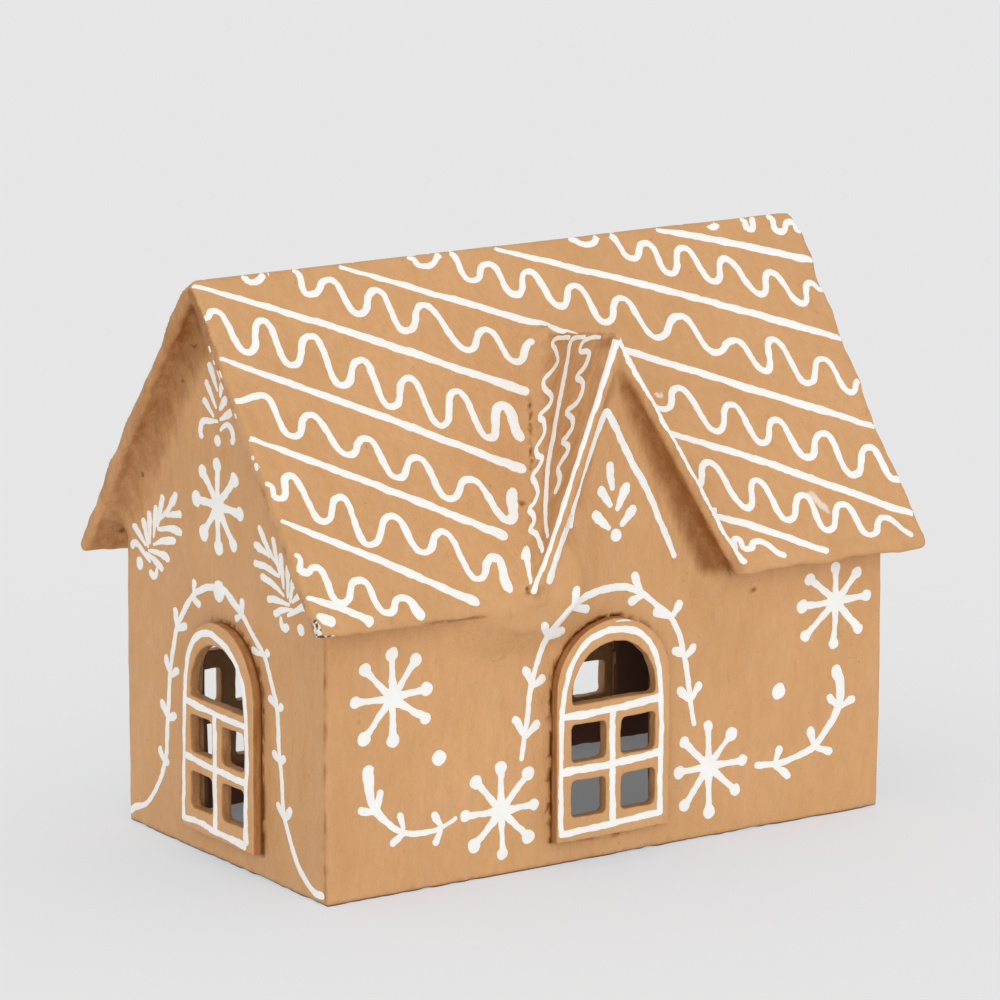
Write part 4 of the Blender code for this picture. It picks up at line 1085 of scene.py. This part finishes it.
def board_material():
    s = Shader("tan_painted_board")
    blotch = s.ramp(s.noise(22.0, 3.0), 0.35, 0.68)
    streak = s.ramp(s.noise(130.0, 3.0, 0.6, (1.0, 1.0, 0.35)), 0.35, 0.7)
    fine = s.ramp(s.noise(330.0, 4.0, 0.7, (1.0, 1.0, 0.35)), 0.32, 0.68)
    colour = s.mix(blotch, (0.632, 0.334, 0.137, 1), (0.706, 0.381, 0.163, 1))
    colour = s.mix(s.math("MULTIPLY", streak, 0.45), colour, (0.700, 0.410, 0.205, 1))
    colour = s.mix(s.math("MULTIPLY", fine, 0.36), colour, (0.535, 0.276, 0.112, 1))
    pits = s.ramp(s.noise(420.0, 2.0, 0.6), 0.70, 0.80)
    colour = s.mix(s.math("MULTIPLY", pits, 0.5), colour, (0.22, 0.11, 0.05, 1))
    # painted shade: the darkening layer turns the board deep brown, streaked by brush-like noise, and near black
    # where it is strongest
    shade_and_specks = s.new("ShaderNodeAttribute", attribute_name="shade_and_specks").outputs["Fac"]
    strokes = s.noise(260.0, 4.0, 0.7, (1.0, 1.0, 0.3))
    streaky_shade = s.ramp(s.math("ADD", shade_and_specks, s.math("MULTIPLY", strokes, 1.1)), 0.66, 1.60)
    colour = s.mix(streaky_shade, colour, (0.296, 0.110, 0.024, 1))
    colour = s.mix(s.ramp(shade_and_specks, 1.05, 1.6), colour, (0.05, 0.02, 0.008, 1))
    worn = s.new("ShaderNodeAttribute", attribute_name="worn").outputs["Fac"]
    chipped = s.ramp(s.math("ADD", worn, s.math("MULTIPLY", s.noise(700.0, 3.0, 0.7), 0.9)), 0.95, 1.10)
    bits = s.ramp(s.noise(520.0, 2.0, 0.6), 0.48, 0.56)
    colour = s.mix(chipped, colour, s.mix(bits, (0.82, 0.78, 0.70, 1), (0.10, 0.055, 0.030, 1)))
    scuff = s.new("ShaderNodeAttribute", attribute_name="scuff").outputs["Fac"]
    scratches = s.ramp(s.math("ADD", scuff, s.noise(620.0, 3.0, 0.7, (1.0, 0.35, 0.35))), 0.95, 1.30)
    colour = s.mix(s.math("MULTIPLY", scratches, 0.85), colour, (0.86, 0.75, 0.62, 1))
    s.set(s.principled, "Base Color", colour)
    s.set(s.principled, "Roughness", s.ramp(s.noise(90.0, 2.0), -0.6, 1.6))
    s.principled.inputs["Specular IOR Level"].default_value = 0.28
    grain = s.bump(s.noise(900.0, 3.0, 0.65), 0.0005, 0.7)
    brush = s.bump(s.noise(430.0, 3.0, 0.6, (1.0, 1.0, 0.28)), 0.0006, 0.5, grain)
    brush = s.bump(s.noise(190.0, 3.0, 0.6, (1.0, 1.0, 0.4)), 0.0009, 0.5, brush)
    s.set(s.principled, "Normal", s.bump(s.noise(45.0, 2.0), 0.0015, 0.4, brush))
    return s.material


def inside_material():
    s = Shader("dark_inside_board")
    tone = s.ramp(s.noise(40.0, 3.0), 0.3, 0.7)
    s.set(s.principled, "Base Color", s.mix(tone, (0.17, 0.078, 0.050, 1), (0.26, 0.125, 0.080, 1)))
    s.principled.inputs["Roughness"].default_value = 0.85
    s.principled.inputs["Specular IOR Level"].default_value = 0.2
    return s.material


def icing_material():
    s = Shader("white_icing_paint")
    tone = s.ramp(s.noise(120.0, 3.0), 0.3, 0.7)
    s.set(s.principled, "Base Color", s.mix(tone, (0.90, 0.893, 0.85, 1), (0.95, 0.945, 0.91, 1)))
    s.principled.inputs["Roughness"].default_value = 0.5
    s.principled.inputs["Specular IOR Level"].default_value = 0.3
    s.set(s.principled, "Normal", s.bump(s.noise(600.0, 2.0), 0.0003, 0.3))
    return s.material


# ---------------------------------------------------------------- the cottage

BOARD = board_material()
INSIDE = inside_material()
ICING = icing_material()

shell = make_shell()
thinned(shell, 195000)
plates = {name: make_window(name, 20 + 3 * i) for i, name in enumerate(WINDOWS)}

bpy.context.view_layer.update()
layers = []
for name, ground, seed, draw in (
        ("icing_front_wall", shell, 1, lambda p: (front_pattern(p), dormer_gable_pattern(p))),
        ("icing_left_gable", shell, 101, lambda p: gable_pattern(p, LEFT, False)),
        ("icing_right_gable", shell, 201, lambda p: gable_pattern(p, RIGHT, True)),
        ("icing_back_wall", shell, 301, back_pattern),
        ("icing_front_roof", shell, 401, lambda p: (roof_pattern(p, ROOF_FRONT, False), rake_dabs(p))),
        ("icing_back_roof", shell, 501, lambda p: roof_pattern(p, ROOF_BACK, True)),
        ("icing_dormer", shell, 601, lambda p: (dormer_pattern(p, DORMER_LEFT, 1),
                                               dormer_pattern(p, DORMER_RIGHT, -1),
                                               rake_line(p, LEFT_FOOT, DORMER_LEFT, 0.5, (2.6, 1.7, 1.55, 1.55, 1.5)),
                                               rake_line(p, RIGHT_FOOT, DORMER_RIGHT, 0.45, (2.6, 2.0, 2.0, 2.2, 2.2))))):
    paint = Paint(name, ground, seed, {"icing_dormer": 14.0, "icing_front_wall": 18.5}.get(name, 2.6))
    draw(paint)
    if paint.verts:
        layers.append(paint.finish(ICING))
for name, plate in plates.items():
    paint = Paint("icing_round_window_" + name, plate, 700.0, step=7.0)
    window_pattern(paint, *WINDOW_PLACES[name])
    layers.append(paint.finish(ICING))

mark_inside(shell)
mark_shell(shell)
for name, plate in plates.items():
    plate.data.materials.clear()
    plate.data.materials.append(BOARD)
    mark_plate(plate, *WINDOW_PLACES[name])
for piece in [shell] + list(plates.values()) + layers:
    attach(piece, "root")

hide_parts(*WALLS, *ROOFS)
for name, plate in plates.items():
    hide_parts("window_" + name)
NODES = sorted(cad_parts)
for node in NODES:
    if not node.startswith("icing_"):
        continue
    if node.startswith("icing_window_"):
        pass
    elif node.startswith(("icing_stripe", "icing_wave")):
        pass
    elif node.endswith("_left"):
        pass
    elif node.endswith("_right"):
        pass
    else:
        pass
    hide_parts(node)


# ---------------------------------------------------------------- studio

def floor_material(name, albedo, glow):
    """albedo and glow are colours; the floor takes less red so that light thrown back by the walls stays neutral."""
    material = bpy.data.materials.new(name)
    material.use_nodes = True
    shader = material.node_tree.nodes["Principled BSDF"].inputs
    shader["Base Color"].default_value = (*albedo, 1)
    shader["Roughness"].default_value = 1.0
    shader["Specular IOR Level"].default_value = 0.0
    shader["Emission Color"].default_value = (*glow, 1)
    shader["Emission Strength"].default_value = 1.0
    return material


def make_floor():
    """A wide pale floor that glows a little, so that shadows stay light, except under the cottage."""
    reach = 60.0
    left, right, front, back = (side * MM for side in (WALL_LEFT + 2, WALL_RIGHT - 2, WALL_FRONT + 2, WALL_BACK - 2))
    outer = [(-reach, -reach), (reach, -reach), (reach, reach), (-reach, reach)]
    inner = [(left, front), (right, front), (right, back), (left, back)]
    mesh = bpy.data.meshes.new("studio_floor")
    mesh.from_pydata([(x, y, -0.00002) for x, y in outer + inner], [],
                     [(0, 1, 5, 4), (1, 2, 6, 5), (2, 3, 7, 6), (3, 0, 4, 7), (4, 5, 6, 7)])
    mesh.materials.append(floor_material("studio_floor", FLOOR_ALBEDO, FLOOR_GLOW))
    mesh.materials.append(floor_material("floor_under_cottage", (0.56, 0.60, 0.62), (0.134, 0.139, 0.142)))
    mesh.polygons[4].material_index = 1
    return link("studio_floor", mesh)


BACKDROP = 0.783
SUN = 1.17
SUN_FROM = Vector((-0.40, -0.90, 0.24)).normalized()
FLOOR_ALBEDO = (0.66, 0.47, 0.37)
FLOOR_GLOW = tuple(BACKDROP + 0.01 - albedo * BACKDROP for albedo in FLOOR_ALBEDO)

floor = make_floor()
world = bpy.data.worlds.new("studio")
world.use_nodes = True
world.node_tree.nodes["Background"].inputs["Color"].default_value = (BACKDROP, BACKDROP, BACKDROP, 1)
world.node_tree.nodes["Background"].inputs["Strength"].default_value = 1.0
bpy.context.scene.world = world
sun = bpy.data.lights.new("soft_key", "SUN")
sun.energy = SUN
sun.angle = radians(70)
lamp = bpy.data.objects.new("soft_key", sun)
lamp.rotation_euler = SUN_FROM.to_track_quat("Z", "Y").to_euler()
bpy.context.scene.collection.objects.link(lamp)
unlit = bpy.data.collections.new("not_lit_by_the_key")      # the floor takes no hard-edged shadow from the key light
unlit.objects.link(floor)
unlit.collection_objects[0].light_linking.link_state = "EXCLUDE"
lamp.light_linking.receiver_collection = unlit
bpy.context.scene.view_settings.view_transform = "Standard"

# ---------------------------------------------------------------- camera

YAW, PITCH, ROLL = radians(34.01), radians(12.63), radians(0.21)
ahead = Vector((sin(YAW) * cos(PITCH), cos(YAW) * cos(PITCH), -sin(PITCH)))
level = Vector((cos(YAW), -sin(YAW), 0))
above = level.cross(ahead)
right = level * cos(ROLL) + above * sin(ROLL)
up = above * cos(ROLL) - level * sin(ROLL)
lens = bpy.data.cameras.new("camera")
lens.sensor_width = 36.0
lens.lens = 213.9
lens.clip_start = 0.05
lens.clip_end = 200.0
camera = bpy.data.objects.new("camera", lens)
place = Matrix((right, up, -ahead)).transposed().to_4x4()
place.translation = CAMERA_AT * MM
camera.matrix_world = place
bpy.context.scene.collection.objects.link(camera)
bpy.context.scene.camera = camera
